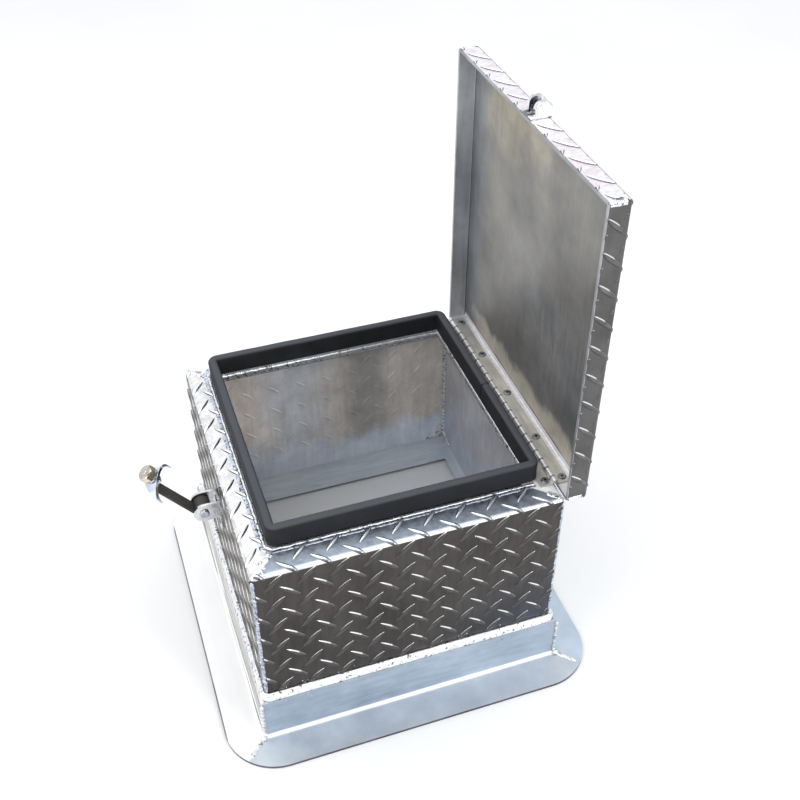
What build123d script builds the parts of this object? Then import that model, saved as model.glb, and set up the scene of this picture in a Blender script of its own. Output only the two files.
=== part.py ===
from build123d import *
from math import cos, radians, sin
import os

# Deck hatch: a raised tread-plate box on a weld-down flange, with a piano-hinged pan lid
# shown standing open, and a rubber draw latch.  Millimetres, +Z up.  The origin is the centre
# of the box on the underside of the flange.  -X is the latch side, +X the hinge side,
# -Y the front.

# ---- sheet and box -----------------------------------------------------------------
SHEET = 3.2                    # 1/8 in plate
BOX_X = 304.8                  # 12 in across, latch side to hinge side
BOX_Y = 310.0
TOP_Z = 234.0                  # upper face of the box's top flange
CORNER_R = 4.8                 # outside bend at the vertical corners
TOP_BEND_R = 4.5               # outside bend at the top edges
INNER_BEND_R = 1.5

# ---- base flange -------------------------------------------------------------------
RISER_OUT = 6.3                # riser's outer face, outboard of the wall
RISER_Z = 57.0
FLANGE_OUT = 38.1              # flange beyond the riser
FLANGE_CORNER_R = 55.0
BASE_BEND_R = 5.0              # inside bend between flange and riser
WALL_FOOT_Z = 52.0             # walls hang this low inside the riser
BEAD_TOE_Z = 65.0              # upper toe of the weld bead on the wall
BEAD_OUT = 5.4
BEAD_LAND_Z = RISER_Z + 1.0       # height of the bead's outer edge
BEAD_SHOULDER_Z = RISER_Z + 3.2
CORNER_BEAD_R = 2.6

# ---- welds of the box --------------------------------------------------------------
INSIDE_BEAD_R = 4.0
INSIDE_BEAD_INSET = 1.0          # its axis from the walls' inner faces
INSIDE_BEAD_ENDS = (WALL_FOOT_Z + 3.0, TOP_Z - SHEET - 6.0)
MITRE_BEAD_R = 3.4
MITRE_BEAD_DEPTH = 2.4           # its axis below the top flange
MITRE_BEAD_RUNS = {(-1, -1): (7.0, 24.0), (-1, 1): (7.0, 14.0), (1, -1): (6.0, 13.0), (1, 1): (4.0, 7.0)}

# ---- opening, coaming and seal -----------------------------------------------------
SEAL_X = (-128.9, 139.1)       # outside of the seal
SEAL_Y = (-124.5, 142.5)
SEAL_W = 9.5
SEAL_CORNER_R = 10.0
SEAL_INNER_R = 1.2
SEAL_CROWN_R = 1.1
SEAL_FOOT = 1.6                # above the top flange
SEAL_TOP = 23.1
SEAL_JOINT_Y = 3.0
SEAL_JOINT_GAP = 0.6
COAMING_T = 3.0
COAMING_FOOT = -5.0
COAMING_TOP = 19.5

# ---- piano hinge -------------------------------------------------------------------
KNUCKLE_R = 2.8
PIN_R = 1.5
PIN_CLEARANCE = 0.05
LEAF_T = 1.3
LEAF_W = 15.0                  # from the pin's axis to the leaf's edge
HINGE_X = 151.2
HINGE_Z = TOP_Z + KNUCKLE_R
HINGE_Y0 = -134.0
KNUCKLE_PITCH = 12.7
KNUCKLES = 22
KNUCKLE_GAP = 0.2
LEAF_RELIEF = 0.4              # leaf's edge clear of the other leaf's knuckles
PIN_END = 0.6                  # pin past the last knuckle, and its head wider than the pin
PIN_HEAD_GAP = 0.2
PIN_HEAD = 0.8
RIVET_Y = (-127.0, -67.0, 5.5, 74.5, 136.0)
LID_RIVET_OFF = 10.2           # rivet row from the pin's axis, lid leaf
BOX_RIVET_OFF = 7.6            # the same, box leaf

# ---- lid pan, standing open --------------------------------------------------------
LID_RIM_X = 153.4
LID_DEPTH = 21.6
LID_LENGTH = 321.0             # hinge edge to latch edge
LID_WIDTH = 311.0
LID_BEND_R = 4.8
LID_FOOT_Z = TOP_Z - SHEET
LID_TOP_Z = LID_FOOT_Z + LID_LENGTH
WELD_NOTCH = 2.0
WELD_SETBACK = 0.4             # weld's end from the lid's rim

# ---- keeper on the lid -------------------------------------------------------------
KEEPER_X = (158.5, 174.5)
EAR_T = 6.0
EAR_SHOULDER_R = 6.0
EAR_EDGE_R = 2.0
KEEPER_SLOT = 8.8
KEEPER_H = 14.5
KEEPER_PLATE_T = 2.5
KEEPER_TAB = 5.0

# ---- latch -------------------------------------------------------------------------
PIVOT_OUT = 17.6               # pivot axis from the wall
PIVOT_X = -BOX_X / 2 - PIVOT_OUT
PIVOT_Z = TOP_Z - 52.6
PIVOT_R = 3.0
PIN_HEAD_R = 5.0
PIN_HEAD_T = 1.8
BRACKET_T = 2.5
BRACKET_EAR_R = 10.5
BRACKET_H = 44.0
BRACKET_Z = TOP_Z - 62.0       # middle of its plate
STRAP_W = 15.0
STRAP_T = 3.4
STRAP_EYE_R = 8.5
STRAP_LENGTH = 60.0            # from the pivot
STRAP_ANGLE = 52.5             # above horizontal, leaning away from the box
EAR_GAP = 0.5
TANG_W = 8.0
TANG_T = 1.4
TANG_LENGTH = 34.0
TANG_CLEARANCE = 0.1
JOG_START = 0.6                # beyond the strap's end
JOG_T = 3.0                    # step from the tang to the stud's axis
STUD_R = 3.0
HANDLE_AT = 67.5               # inner face of the handle's crown, from the pivot
HANDLE_R = 19.0                # inside radius of the crescent
HANDLE_T = 2.5
HANDLE_W = 17.0
HANDLE_HALF = 20.0
HANDLE_TWIST = -31.0           # about the stud
WASHER_R = 8.0
WASHER_T = 1.6
NUT_FLATS = 15.0
NUT_T = 8.0
STUD_CHAMFER = 0.8
NUT_DOME = 0.57                # dome's radius as a share of the flats
NUT_CHAMFER = 1.2
STUD_TIP = 1.2                 # stands proud of the nut

# ---- pop rivets --------------------------------------------------------------------
RIVET_R = 2.4
RIVET_HEAD_R = 4.2
RIVET_HEAD_H = 1.4
RIVET_RECESS_R = 1.25
RIVET_RECESS_DEPTH = 0.9
RIVET_DOME = 0.8               # share of the head's height that is rounded
RIVET_TAIL_R = 3.3
RIVET_TAIL_H = 2.4


def block(x, y, z):
    """A box from three (low, high) pairs."""
    size = [abs(high - low) for low, high in (x, y, z)]
    middle = [(high + low) / 2 for low, high in (x, y, z)]
    return Pos(*middle) * Box(*size)


def rounded_prism(x, y, z, radius):
    """An upright prism with a rounded-rectangle plan."""
    plan = RectangleRounded(x[1] - x[0], y[1] - y[0], radius)
    return Pos((x[0] + x[1]) / 2, (y[0] + y[1]) / 2, z[0]) * extrude(plan, z[1] - z[0])


def grow(pair, amount):
    return pair[0] - amount, pair[1] + amount


def rod(start, end, radius):
    """A cylinder between two points."""
    line = Vector(*end) - Vector(*start)
    return extrude(Plane(start, z_dir=line) * Circle(radius), line.length)


def mitre_quarters(solid, half_x, half_y, reach):
    """Cuts a ring into front, back, left and right along 45-degree planes at its corners."""
    low, high = TOP_Z * -1, TOP_Z * 3
    deep = 120.0

    def wedge(points):
        return Pos(0, 0, low) * extrude(make_face(Polyline(points, close=True)), high - low)

    x_out, y_out = half_x + reach, half_y + reach
    x_in, y_in = half_x - deep, half_y - deep
    return {
        "front": solid & wedge([(-x_out, -y_out), (x_out, -y_out), (x_in, -y_in), (-x_in, -y_in)]),
        "back": solid & wedge([(x_out, y_out), (-x_out, y_out), (-x_in, y_in), (x_in, y_in)]),
        "left": solid & wedge([(-x_out, y_out), (-x_out, -y_out), (-x_in, -y_in), (-x_in, y_in)]),
        "right": solid & wedge([(x_out, -y_out), (x_out, y_out), (x_in, y_in), (x_in, -y_in)]),
    }


def one_solid(shape):
    """The shape's largest solid, without the compound round it."""
    return max(shape.solids(), key=lambda part: part.volume)


def save(name, *solids):
    shape = solids[0] if len(solids) == 1 else Compound(children=list(solids))
    shape.label = name
    export_step(shape, f"parts/{name}.step")


# ---- base ----------------------------------------------------------------------------
HALF_X = BOX_X / 2
HALF_Y = BOX_Y / 2
RISER_HALF_X = HALF_X + RISER_OUT
RISER_HALF_Y = HALF_Y + RISER_OUT


def base_ring():
    """Flange and riser as one bent ring, before it is mitred."""
    outer_x, outer_y = RISER_HALF_X + FLANGE_OUT, RISER_HALF_Y + FLANGE_OUT
    flange = rounded_prism((-outer_x, outer_x), (-outer_y, outer_y), (0, SHEET), FLANGE_CORNER_R)
    riser = block((-RISER_HALF_X, RISER_HALF_X), (-RISER_HALF_Y, RISER_HALF_Y), (0, RISER_Z))
    ring = flange + riser
    inside_bend = ring.edges().filter_by(
        lambda edge: abs(edge.center().Z - SHEET) < 0.01
        and abs(edge.center().X) < RISER_HALF_X + 0.1
        and abs(edge.center().Y) < RISER_HALF_Y + 0.1
        and edge.geom_type == GeomType.LINE
    )
    ring = fillet(inside_bend, BASE_BEND_R)
    inner_x, inner_y = RISER_HALF_X - SHEET, RISER_HALF_Y - SHEET
    hole = block((-inner_x, inner_x), (-inner_y, inner_y), (-1, RISER_Z + 1))
    ring -= hole
    outside_bend = ring.edges().filter_by(
        lambda edge: abs(edge.center().Z) < 0.01
        and abs(edge.center().X) < inner_x + 0.1
        and abs(edge.center().Y) < inner_y + 0.1
    )
    return fillet(outside_bend, BASE_BEND_R)


def base_corner_welds():
    """A bead up each riser corner and one out along each mitre of the flange."""
    beads = []
    round_reach = FLANGE_OUT - FLANGE_CORNER_R * (1 - cos(radians(45)))
    run = round_reach - CORNER_BEAD_R
    bend_top = SHEET + BASE_BEND_R
    above = block((-BOX_X, BOX_X), (-BOX_Y, BOX_Y), (SHEET, bend_top))
    for sx in (-1, 1):
        for sy in (-1, 1):
            corner_x, corner_y = sx * RISER_HALF_X, sy * RISER_HALF_Y
            upright = rod((corner_x, corner_y, bend_top), (corner_x, corner_y, RISER_Z - 1),
                          CORNER_BEAD_R)
            riser = block(sorted((0, corner_x)), sorted((0, corner_y)), (0, RISER_Z))
            beads.append(one_solid(upright - riser))
            near = (corner_x + sx * BASE_BEND_R, corner_y + sy * BASE_BEND_R, SHEET)
            far = (corner_x + sx * run, corner_y + sy * run, SHEET)
            beads.append(one_solid(rod(near, far, CORNER_BEAD_R) & above))
    return beads


def base_weld():
    """The fillet bead that joins the box to the top edge of the riser, all the way round."""
    gap = RISER_OUT - SHEET
    section = [(0, WALL_FOOT_Z), (gap, WALL_FOOT_Z), (gap, RISER_Z), (BEAD_OUT, RISER_Z),
               (BEAD_OUT, BEAD_LAND_Z), (gap, BEAD_SHOULDER_Z), (0, BEAD_TOE_Z)]
    length = BOX_X + BOX_Y

    def side(turn, half):
        face = make_face(Polyline([(0, -half - out, z) for out, z in section], close=True))
        return Rot(0, 0, turn) * Pos(-length / 2, 0, 0) * extrude(face, length, dir=(1, 0, 0))

    front, right, back, left = side(0, HALF_Y), side(90, HALF_X), side(180, HALF_Y), side(270, HALF_X)
    sides = []
    for name, bar in zip(("front", "right", "back", "left"), (front, right, back, left)):
        sides.append(mitre_quarters(bar, HALF_X, HALF_Y, BEAD_OUT + 2)[name])
    ring = sides[0] + sides[1] + sides[2] + sides[3]
    corner_fill = block((-HALF_X, HALF_X), (-HALF_Y, HALF_Y), (WALL_FOOT_Z, BEAD_TOE_Z))
    corner_fill -= rounded_prism((-HALF_X, HALF_X), (-HALF_Y, HALF_Y), (WALL_FOOT_Z, BEAD_TOE_Z),
                                 CORNER_R)
    return one_solid(ring + corner_fill)


# ---- box -----------------------------------------------------------------------------
COAMING_INSET = (SEAL_W - COAMING_T) / 2
COAMING_X = grow(SEAL_X, -COAMING_INSET)
COAMING_Y = grow(SEAL_Y, -COAMING_INSET)
COAMING_R = SEAL_CORNER_R - COAMING_INSET


def rivet(point, direction, grip):
    """A blind rivet: domed head with its mandrel hole, shank through the grip, and tail."""
    base = Plane(point, z_dir=direction)
    head = extrude(base * Circle(RIVET_HEAD_R), RIVET_HEAD_H)
    head = fillet(head.edges().sort_by(lambda e: e.center().dot(Vector(*direction)))[-1],
                  RIVET_HEAD_H * RIVET_DOME)
    recess = extrude(base.offset(RIVET_HEAD_H - RIVET_RECESS_DEPTH) * Circle(RIVET_RECESS_R), 2)
    shank = extrude(base.offset(-grip) * Circle(RIVET_R), grip)
    tail = extrude(base.offset(-grip - RIVET_TAIL_H) * Circle(RIVET_TAIL_R), RIVET_TAIL_H)
    return one_solid(head - recess + shank + tail)


def rivet_hole(point, direction, depth):
    base = Plane(point, z_dir=direction)
    return extrude(base.offset(-depth) * Circle(RIVET_R), depth * 2)


def box_leaf_rivet_points():
    return [(HINGE_X - BOX_RIVET_OFF, y, TOP_Z + LEAF_T) for y in RIVET_Y]


def lid_leaf_rivet_points():
    return [(HINGE_X + LID_RIVET_OFF, y, TOP_Z + LEAF_T) for y in RIVET_Y]


def bracket_rivet_points():
    reach = BRACKET_H / 2 - 6.0
    face = -HALF_X - BRACKET_T
    return [(face, 0, BRACKET_Z + reach), (face, 0, BRACKET_Z - reach)]


def box_shell():
    """The bent walls and top flange as one shell, before it is cut at the mitres."""
    outer = rounded_prism((-HALF_X, HALF_X), (-HALF_Y, HALF_Y), (WALL_FOOT_Z, TOP_Z), CORNER_R)
    outer = fillet(outer.faces().sort_by(Axis.Z)[-1].edges(), TOP_BEND_R)
    in_x, in_y = HALF_X - SHEET, HALF_Y - SHEET
    inner = rounded_prism((-in_x, in_x), (-in_y, in_y), (WALL_FOOT_Z - 1, TOP_Z - SHEET),
                          CORNER_R - SHEET)
    inner = fillet(inner.faces().sort_by(Axis.Z)[-1].edges(), INNER_BEND_R)
    opening = rounded_prism(COAMING_X, COAMING_Y, (TOP_Z - SHEET - 1, TOP_Z + 1), COAMING_R)
    shell = outer - inner - opening
    for point in box_leaf_rivet_points():
        shell -= rivet_hole(point, (0, 0, 1), LEAF_T + SHEET + 1)
    for point in bracket_rivet_points():
        shell -= rivet_hole(point, (-1, 0, 0), BRACKET_T + SHEET + 1)
    return shell


def wall_corner_welds():
    """The bead down each inside corner of the box."""
    beads = []
    for sx in (-1, 1):
        for sy in (-1, 1):
            x = sx * (HALF_X - SHEET - INSIDE_BEAD_INSET)
            y = sy * (HALF_Y - SHEET - INSIDE_BEAD_INSET)
            low, high = INSIDE_BEAD_ENDS
            beads.append(rod((x, y, low), (x, y, high), INSIDE_BEAD_R))
    return beads


def top_mitre_welds():
    """The ground beads along the mitres of the top flange."""
    beads = []
    axis_z = TOP_Z - MITRE_BEAD_DEPTH
    for (sx, sy), (near, far) in MITRE_BEAD_RUNS.items():
        start = (sx * (HALF_X - near), sy * (HALF_Y - near), axis_z)
        end = (sx * (HALF_X - far), sy * (HALF_Y - far), axis_z)
        bar = rod(start, end, MITRE_BEAD_R)
        above = block((-HALF_X, HALF_X), (-HALF_Y, HALF_Y), (TOP_Z, TOP_Z + 5))
        beads.append(one_solid(bar & above))
    return beads


def coaming():
    z = (TOP_Z + COAMING_FOOT, TOP_Z + COAMING_TOP)
    inside = rounded_prism(grow(COAMING_X, -COAMING_T), grow(COAMING_Y, -COAMING_T),
                           grow(z, 1), COAMING_R - COAMING_T)
    return one_solid(rounded_prism(COAMING_X, COAMING_Y, z, COAMING_R) - inside)


def lid_seal(lip):
    """Push-on seal: a hollow-legged cap over the coaming, butted on the hinge side."""
    z = (TOP_Z + SEAL_FOOT, TOP_Z + SEAL_TOP)
    ring = rounded_prism(SEAL_X, SEAL_Y, z, SEAL_CORNER_R)
    ring -= rounded_prism(grow(SEAL_X, -SEAL_W), grow(SEAL_Y, -SEAL_W), grow(z, 1), SEAL_INNER_R)
    crown = ring.edges().filter_by(lambda edge: abs(edge.center().Z - z[1]) < 0.01)
    ring = fillet(crown, SEAL_CROWN_R)
    joint = block((SEAL_X[1] - SEAL_W - 1, SEAL_X[1] + 1),
                  (SEAL_JOINT_Y, SEAL_JOINT_Y + SEAL_JOINT_GAP), grow(z, 1))
    return one_solid(ring - lip - joint)


# ---- hinge ---------------------------------------------------------------------------
HINGE_Y1 = HINGE_Y0 + KNUCKLES * KNUCKLE_PITCH


def hinge_leaf(side, first):
    """A flat leaf on one side of the pin (-1 box, +1 lid), with every second knuckle."""
    clear = KNUCKLE_R + LEAF_RELIEF
    across = sorted((HINGE_X + side * clear, HINGE_X + side * LEAF_W))
    leaf = block(across, (HINGE_Y0, HINGE_Y1), (TOP_Z, TOP_Z + LEAF_T))
    for number in range(first, KNUCKLES, 2):
        low = HINGE_Y0 + number * KNUCKLE_PITCH + KNUCKLE_GAP / 2
        high = low + KNUCKLE_PITCH - KNUCKLE_GAP
        root = sorted((HINGE_X, HINGE_X + side * (clear + 0.5)))
        leaf += block(root, (low, high), (TOP_Z, TOP_Z + LEAF_T))
        leaf += rod((HINGE_X, low, HINGE_Z), (HINGE_X, high, HINGE_Z), KNUCKLE_R)
    leaf -= rod((HINGE_X, HINGE_Y0 - 5, HINGE_Z), (HINGE_X, HINGE_Y1 + 5, HINGE_Z),
                PIN_R + PIN_CLEARANCE)
    points = box_leaf_rivet_points() if side < 0 else lid_leaf_rivet_points()
    for point in points:
        leaf -= rivet_hole(point, (0, 0, 1), LEAF_T + 1)
    return one_solid(leaf)


def hinge_pin():
    pin = rod((HINGE_X, HINGE_Y0 - PIN_END, HINGE_Z), (HINGE_X, HINGE_Y1 + PIN_END, HINGE_Z), PIN_R)
    heads = [rod((HINGE_X, y, HINGE_Z), (HINGE_X, y + step, HINGE_Z), PIN_R + PIN_END)
             for y, step in ((HINGE_Y0 - PIN_HEAD_GAP, -PIN_HEAD), (HINGE_Y1 + PIN_HEAD_GAP, PIN_HEAD))]
    return one_solid(pin + heads[0] + heads[1])


# ---- lid -----------------------------------------------------------------------------
LID_FACE_X = LID_RIM_X + LID_DEPTH
KEEPER_HALF = KEEPER_SLOT / 2 + EAR_T


def keeper_rivet_points():
    return [(KEEPER_X[0] - KEEPER_TAB / 2 + 1.0, 0, LID_TOP_Z + KEEPER_PLATE_T)]


def lid_pan():
    """The folded pan: panel and four flanges, open towards the box."""
    half = LID_WIDTH / 2
    outer = block((LID_RIM_X, LID_FACE_X), (-half, half), (LID_FOOT_Z, LID_TOP_Z))
    outer = fillet(outer.faces().sort_by(Axis.X)[-1].edges(), LID_BEND_R)
    inner = block((LID_RIM_X - 1, LID_FACE_X - SHEET), (-half + SHEET, half - SHEET),
                  (LID_FOOT_Z + SHEET, LID_TOP_Z - SHEET))
    inner = fillet(inner.faces().sort_by(Axis.X)[-1].edges(), LID_BEND_R - SHEET)
    pan = outer - inner
    for sy, z in lid_corners():
        pan -= block((LID_RIM_X - 1, LID_FACE_X - LID_BEND_R),
                     sorted((sy * half, sy * (half - WELD_NOTCH))), z)
    for point in lid_leaf_rivet_points():
        pan -= rivet_hole(point, (0, 0, 1), LEAF_T + SHEET + 1)
    for point in keeper_rivet_points():
        pan -= rivet_hole(point, (0, 0, 1), KEEPER_PLATE_T + SHEET + 1)
    return one_solid(pan)


def lid_corners():
    """Side of the lid and height range of each corner's weld notch."""
    low = (LID_FOOT_Z, LID_FOOT_Z + WELD_NOTCH)
    high = (LID_TOP_Z - WELD_NOTCH, LID_TOP_Z)
    return [(sy, z) for sy in (-1, 1) for z in (low, high)]


def lid_corner_welds():
    beads = []
    half = LID_WIDTH / 2
    for sy, z in lid_corners():
        bar = block((LID_RIM_X + WELD_SETBACK, LID_FACE_X - LID_BEND_R),
                    sorted((sy * half, sy * (half - WELD_NOTCH))), z)
        outer_z = z[0] if z[0] == LID_FOOT_Z else z[1]
        edge = [e for e in bar.edges().filter_by(Axis.X)
                if abs(e.center().Y - sy * half) < 0.01 and abs(e.center().Z - outer_z) < 0.01]
        beads.append(one_solid(fillet(edge, WELD_NOTCH * 0.8)))
    return beads


def keeper():
    """A folded saddle: two round-topped ears with a slot that the latch stud drops into."""
    plate = block((KEEPER_X[0] - KEEPER_TAB, KEEPER_X[1] - 1), (-KEEPER_HALF, KEEPER_HALF),
                  (LID_TOP_Z, LID_TOP_Z + KEEPER_PLATE_T))
    body = plate
    for sy in (-1, 1):
        across = sorted((sy * KEEPER_SLOT / 2, sy * KEEPER_HALF))
        ear = block(KEEPER_X, across, (LID_TOP_Z, LID_TOP_Z + KEEPER_H))
        shoulders = ear.edges().filter_by(Axis.Y).group_by(Axis.Z)[-1]
        ear = fillet(shoulders, EAR_SHOULDER_R)
        top_edges = ear.edges().filter_by(
            lambda e, s=sy: abs(abs(e.center().Y) - KEEPER_HALF) < 0.01
            and e.center().Z > LID_TOP_Z + 3)
        body += fillet(top_edges, EAR_EDGE_R)
    for point in keeper_rivet_points():
        body -= rivet_hole(point, (0, 0, 1), KEEPER_PLATE_T + 1)
    return one_solid(body)


# ---- latch ---------------------------------------------------------------------------
LEAN = radians(STRAP_ANGLE)
ALONG = Vector(-cos(LEAN), 0, sin(LEAN))
OUTER = Vector(-sin(LEAN), 0, -cos(LEAN))      # square to the strap, away from the box
PIVOT = Vector(PIVOT_X, 0, PIVOT_Z)
RADIAL = Plane(origin=PIVOT, x_dir=OUTER, z_dir=ALONG)
STRAP_OFFSET = STRAP_EYE_R - STRAP_T / 2       # the strap leaves the eye on its outer side
HANDLE = Plane(origin=PIVOT, x_dir=OUTER.rotate(Axis((0, 0, 0), ALONG), HANDLE_TWIST), z_dir=ALONG)
STACK = HANDLE_AT + HANDLE_T                   # washer and nut sit on the handle's crown


def along_edge(edge):
    """How far an edge lies along the strap, for sorting."""
    return edge.center().dot(ALONG)


def latch_bracket():
    """A folded bracket: a plate on the wall with two ears for the pivot pin."""
    half = STRAP_W / 2 + EAR_GAP + BRACKET_T
    plate = block((-HALF_X - BRACKET_T, -HALF_X), (-half, half),
                  (BRACKET_Z - BRACKET_H / 2, BRACKET_Z + BRACKET_H / 2))
    body = fillet(plate.edges().filter_by(Axis.X), 5.0)
    for sy in (-1, 1):
        low, high = sorted((sy * (half - BRACKET_T), sy * half))
        ear = rod((PIVOT_X, low, PIVOT_Z), (PIVOT_X, high, PIVOT_Z), BRACKET_EAR_R)
        ear += block((PIVOT_X, -HALF_X), (low, high),
                     (PIVOT_Z - BRACKET_EAR_R, PIVOT_Z + BRACKET_EAR_R))
        body += ear
    body -= rod((PIVOT_X, -half - 1, PIVOT_Z), (PIVOT_X, half + 1, PIVOT_Z),
                PIVOT_R + PIN_CLEARANCE)
    for point in bracket_rivet_points():
        body -= rivet_hole(point, (-1, 0, 0), BRACKET_T + 1)
    return one_solid(body)


def latch_pin():
    half = STRAP_W / 2 + EAR_GAP + BRACKET_T + EAR_GAP / 2
    pin = rod((PIVOT_X, -half, PIVOT_Z), (PIVOT_X, half, PIVOT_Z), PIVOT_R)
    for sy in (-1, 1):
        head = rod((PIVOT_X, sy * half, PIVOT_Z), (PIVOT_X, sy * (half + PIN_HEAD_T), PIVOT_Z),
                   PIN_HEAD_R)
        pin += fillet(head.edges().sort_by(Axis.Y)[-1 if sy > 0 else 0], PIN_HEAD_T * 0.6)
    return one_solid(pin)


def latch_strap():
    """Rubber strap: an eye on the pivot pin and a flat tail with a pocket for the tang."""
    half = STRAP_W / 2
    eye = rod((PIVOT_X, -half, PIVOT_Z), (PIVOT_X, half, PIVOT_Z), STRAP_EYE_R)
    tail_section = RADIAL * Pos(STRAP_OFFSET, 0) * Rectangle(STRAP_T, STRAP_W)
    strap = eye + extrude(tail_section, STRAP_LENGTH)
    strap -= rod((PIVOT_X, -half - 1, PIVOT_Z), (PIVOT_X, half + 1, PIVOT_Z),
                 PIVOT_R + PIN_CLEARANCE)
    pocket_section = Rectangle(TANG_T + 2 * TANG_CLEARANCE, TANG_W + 2 * TANG_CLEARANCE)
    pocket_start = RADIAL.offset(STRAP_LENGTH - TANG_LENGTH - 0.5)
    strap -= extrude(pocket_start * Pos(STRAP_OFFSET, 0) * pocket_section, TANG_LENGTH + 2)
    return one_solid(strap)


def latch_stud():
    """A flat tang held in the strap, stepped across to a threaded shank in line with the pivot."""
    tang_start = RADIAL.offset(STRAP_LENGTH - TANG_LENGTH)
    tang = extrude(tang_start * Pos(STRAP_OFFSET, 0) * Rectangle(TANG_T, TANG_W), TANG_LENGTH + 1)
    jog_start = RADIAL.offset(STRAP_LENGTH + JOG_START)
    jog_from, jog_to = -STUD_R, STRAP_OFFSET + TANG_T / 2
    jog_section = Pos((jog_from + jog_to) / 2, 0) * Rectangle(jog_to - jog_from, TANG_W)
    jog = extrude(jog_start * jog_section, JOG_T)
    end = STACK + WASHER_T + NUT_T + STUD_TIP
    shank = extrude(jog_start * Circle(STUD_R), end - STRAP_LENGTH - JOG_START)
    shank = chamfer(shank.edges().sort_by(along_edge)[-1], STUD_CHAMFER)
    return one_solid(tang + jog + shank)


def latch_handle():
    """A leaf-shaped plate bent into a crescent, tips swept back beside the strap."""
    centre = HANDLE.offset(HANDLE_AT - HANDLE_R)
    band = Plane(origin=centre.origin, x_dir=HANDLE.y_dir, z_dir=HANDLE.x_dir)
    section = Circle(HANDLE_R + HANDLE_T) - Circle(HANDLE_R)
    plate = extrude(band * section, HANDLE_W / 2, both=True)
    lens_r = (HANDLE_HALF ** 2 + (HANDLE_W / 2) ** 2) / HANDLE_W
    lens_shift = lens_r - HANDLE_W / 2
    lens = (Pos(lens_shift, 0) * Circle(lens_r)) & (Pos(-lens_shift, 0) * Circle(lens_r))
    plate = plate & extrude(centre.offset(2.0) * lens, HANDLE_R + 8)
    plate -= extrude(centre * Circle(STUD_R + PIN_CLEARANCE), HANDLE_R + 8)
    return one_solid(plate)


def latch_washer():
    washer = Circle(WASHER_R) - Circle(STUD_R)
    return one_solid(extrude(RADIAL.offset(STACK) * washer, WASHER_T))


def latch_nut():
    seat = HANDLE.offset(STACK + WASHER_T)
    hexagon = RegularPolygon(NUT_FLATS / 2, 6, major_radius=False) - Circle(STUD_R)
    nut = extrude(seat * hexagon, NUT_T)
    dome = extrude(seat * Circle(NUT_FLATS * NUT_DOME), NUT_T)
    dome = chamfer(dome.edges().sort_by(along_edge)[-1], NUT_CHAMFER)
    return one_solid(nut & dome)


os.makedirs("parts", exist_ok=True)

ring = base_ring()
for side, piece in mitre_quarters(ring, RISER_HALF_X, RISER_HALF_Y, FLANGE_OUT + 5).items():
    save(f"base_angle_{side}", one_solid(piece))
save("base_corner_welds", *base_corner_welds())
save("base_weld", base_weld())

shell = box_shell()
for side, piece in mitre_quarters(shell, HALF_X, HALF_Y, 5).items():
    save(f"wall_{side}", one_solid(piece))
save("wall_corner_welds", *[one_solid(bead - shell) for bead in wall_corner_welds()])
save("top_mitre_welds", *top_mitre_welds())

lip = coaming()
save("coaming", lip)
save("lid_seal", lid_seal(lip))

save("hinge_leaf_box", hinge_leaf(-1, 0))
save("hinge_leaf_lid", hinge_leaf(1, 1))
save("hinge_pin", hinge_pin())
save("hinge_rivets_box", *[rivet(p, (0, 0, 1), LEAF_T + SHEET) for p in box_leaf_rivet_points()])
save("hinge_rivets_lid", *[rivet(p, (0, 0, 1), LEAF_T + SHEET) for p in lid_leaf_rivet_points()])

save("lid_pan", lid_pan())
save("lid_corner_welds", *lid_corner_welds())
save("keeper", keeper())
save("keeper_rivet", *[rivet(p, (0, 0, 1), KEEPER_PLATE_T + SHEET) for p in keeper_rivet_points()])

save("latch_bracket", latch_bracket())
save("bracket_rivets", *[rivet(p, (-1, 0, 0), BRACKET_T + SHEET) for p in bracket_rivet_points()])
save("latch_pin", latch_pin())
save("latch_strap", latch_strap())
save("latch_stud", latch_stud())
save("latch_handle", latch_handle())
save("latch_washer", latch_washer())
save("latch_nut", latch_nut())
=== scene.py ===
import random
from math import ceil, cos, pi, radians, sin, sqrt

import bmesh
import bpy
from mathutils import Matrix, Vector, noise


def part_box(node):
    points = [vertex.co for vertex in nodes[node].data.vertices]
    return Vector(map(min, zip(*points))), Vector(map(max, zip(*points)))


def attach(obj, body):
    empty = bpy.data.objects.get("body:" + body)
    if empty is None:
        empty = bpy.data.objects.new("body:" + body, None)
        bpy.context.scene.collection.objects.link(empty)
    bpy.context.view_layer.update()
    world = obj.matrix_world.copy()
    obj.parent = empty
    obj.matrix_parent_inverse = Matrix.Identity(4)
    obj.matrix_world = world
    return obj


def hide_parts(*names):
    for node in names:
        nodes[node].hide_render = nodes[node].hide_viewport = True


# Deck hatch.  Lengths are in millimetres until a mesh is made; MM turns them into metres.

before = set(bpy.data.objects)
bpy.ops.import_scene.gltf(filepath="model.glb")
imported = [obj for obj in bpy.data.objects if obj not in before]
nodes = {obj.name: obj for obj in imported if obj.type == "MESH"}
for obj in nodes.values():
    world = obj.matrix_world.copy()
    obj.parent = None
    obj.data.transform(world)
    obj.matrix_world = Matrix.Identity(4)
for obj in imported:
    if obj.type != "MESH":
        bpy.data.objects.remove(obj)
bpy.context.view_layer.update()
MM = 0.001
UP = Vector((0, 0, 1))


def mm_box(node):
    low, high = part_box(node)
    return low / MM, high / MM


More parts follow.
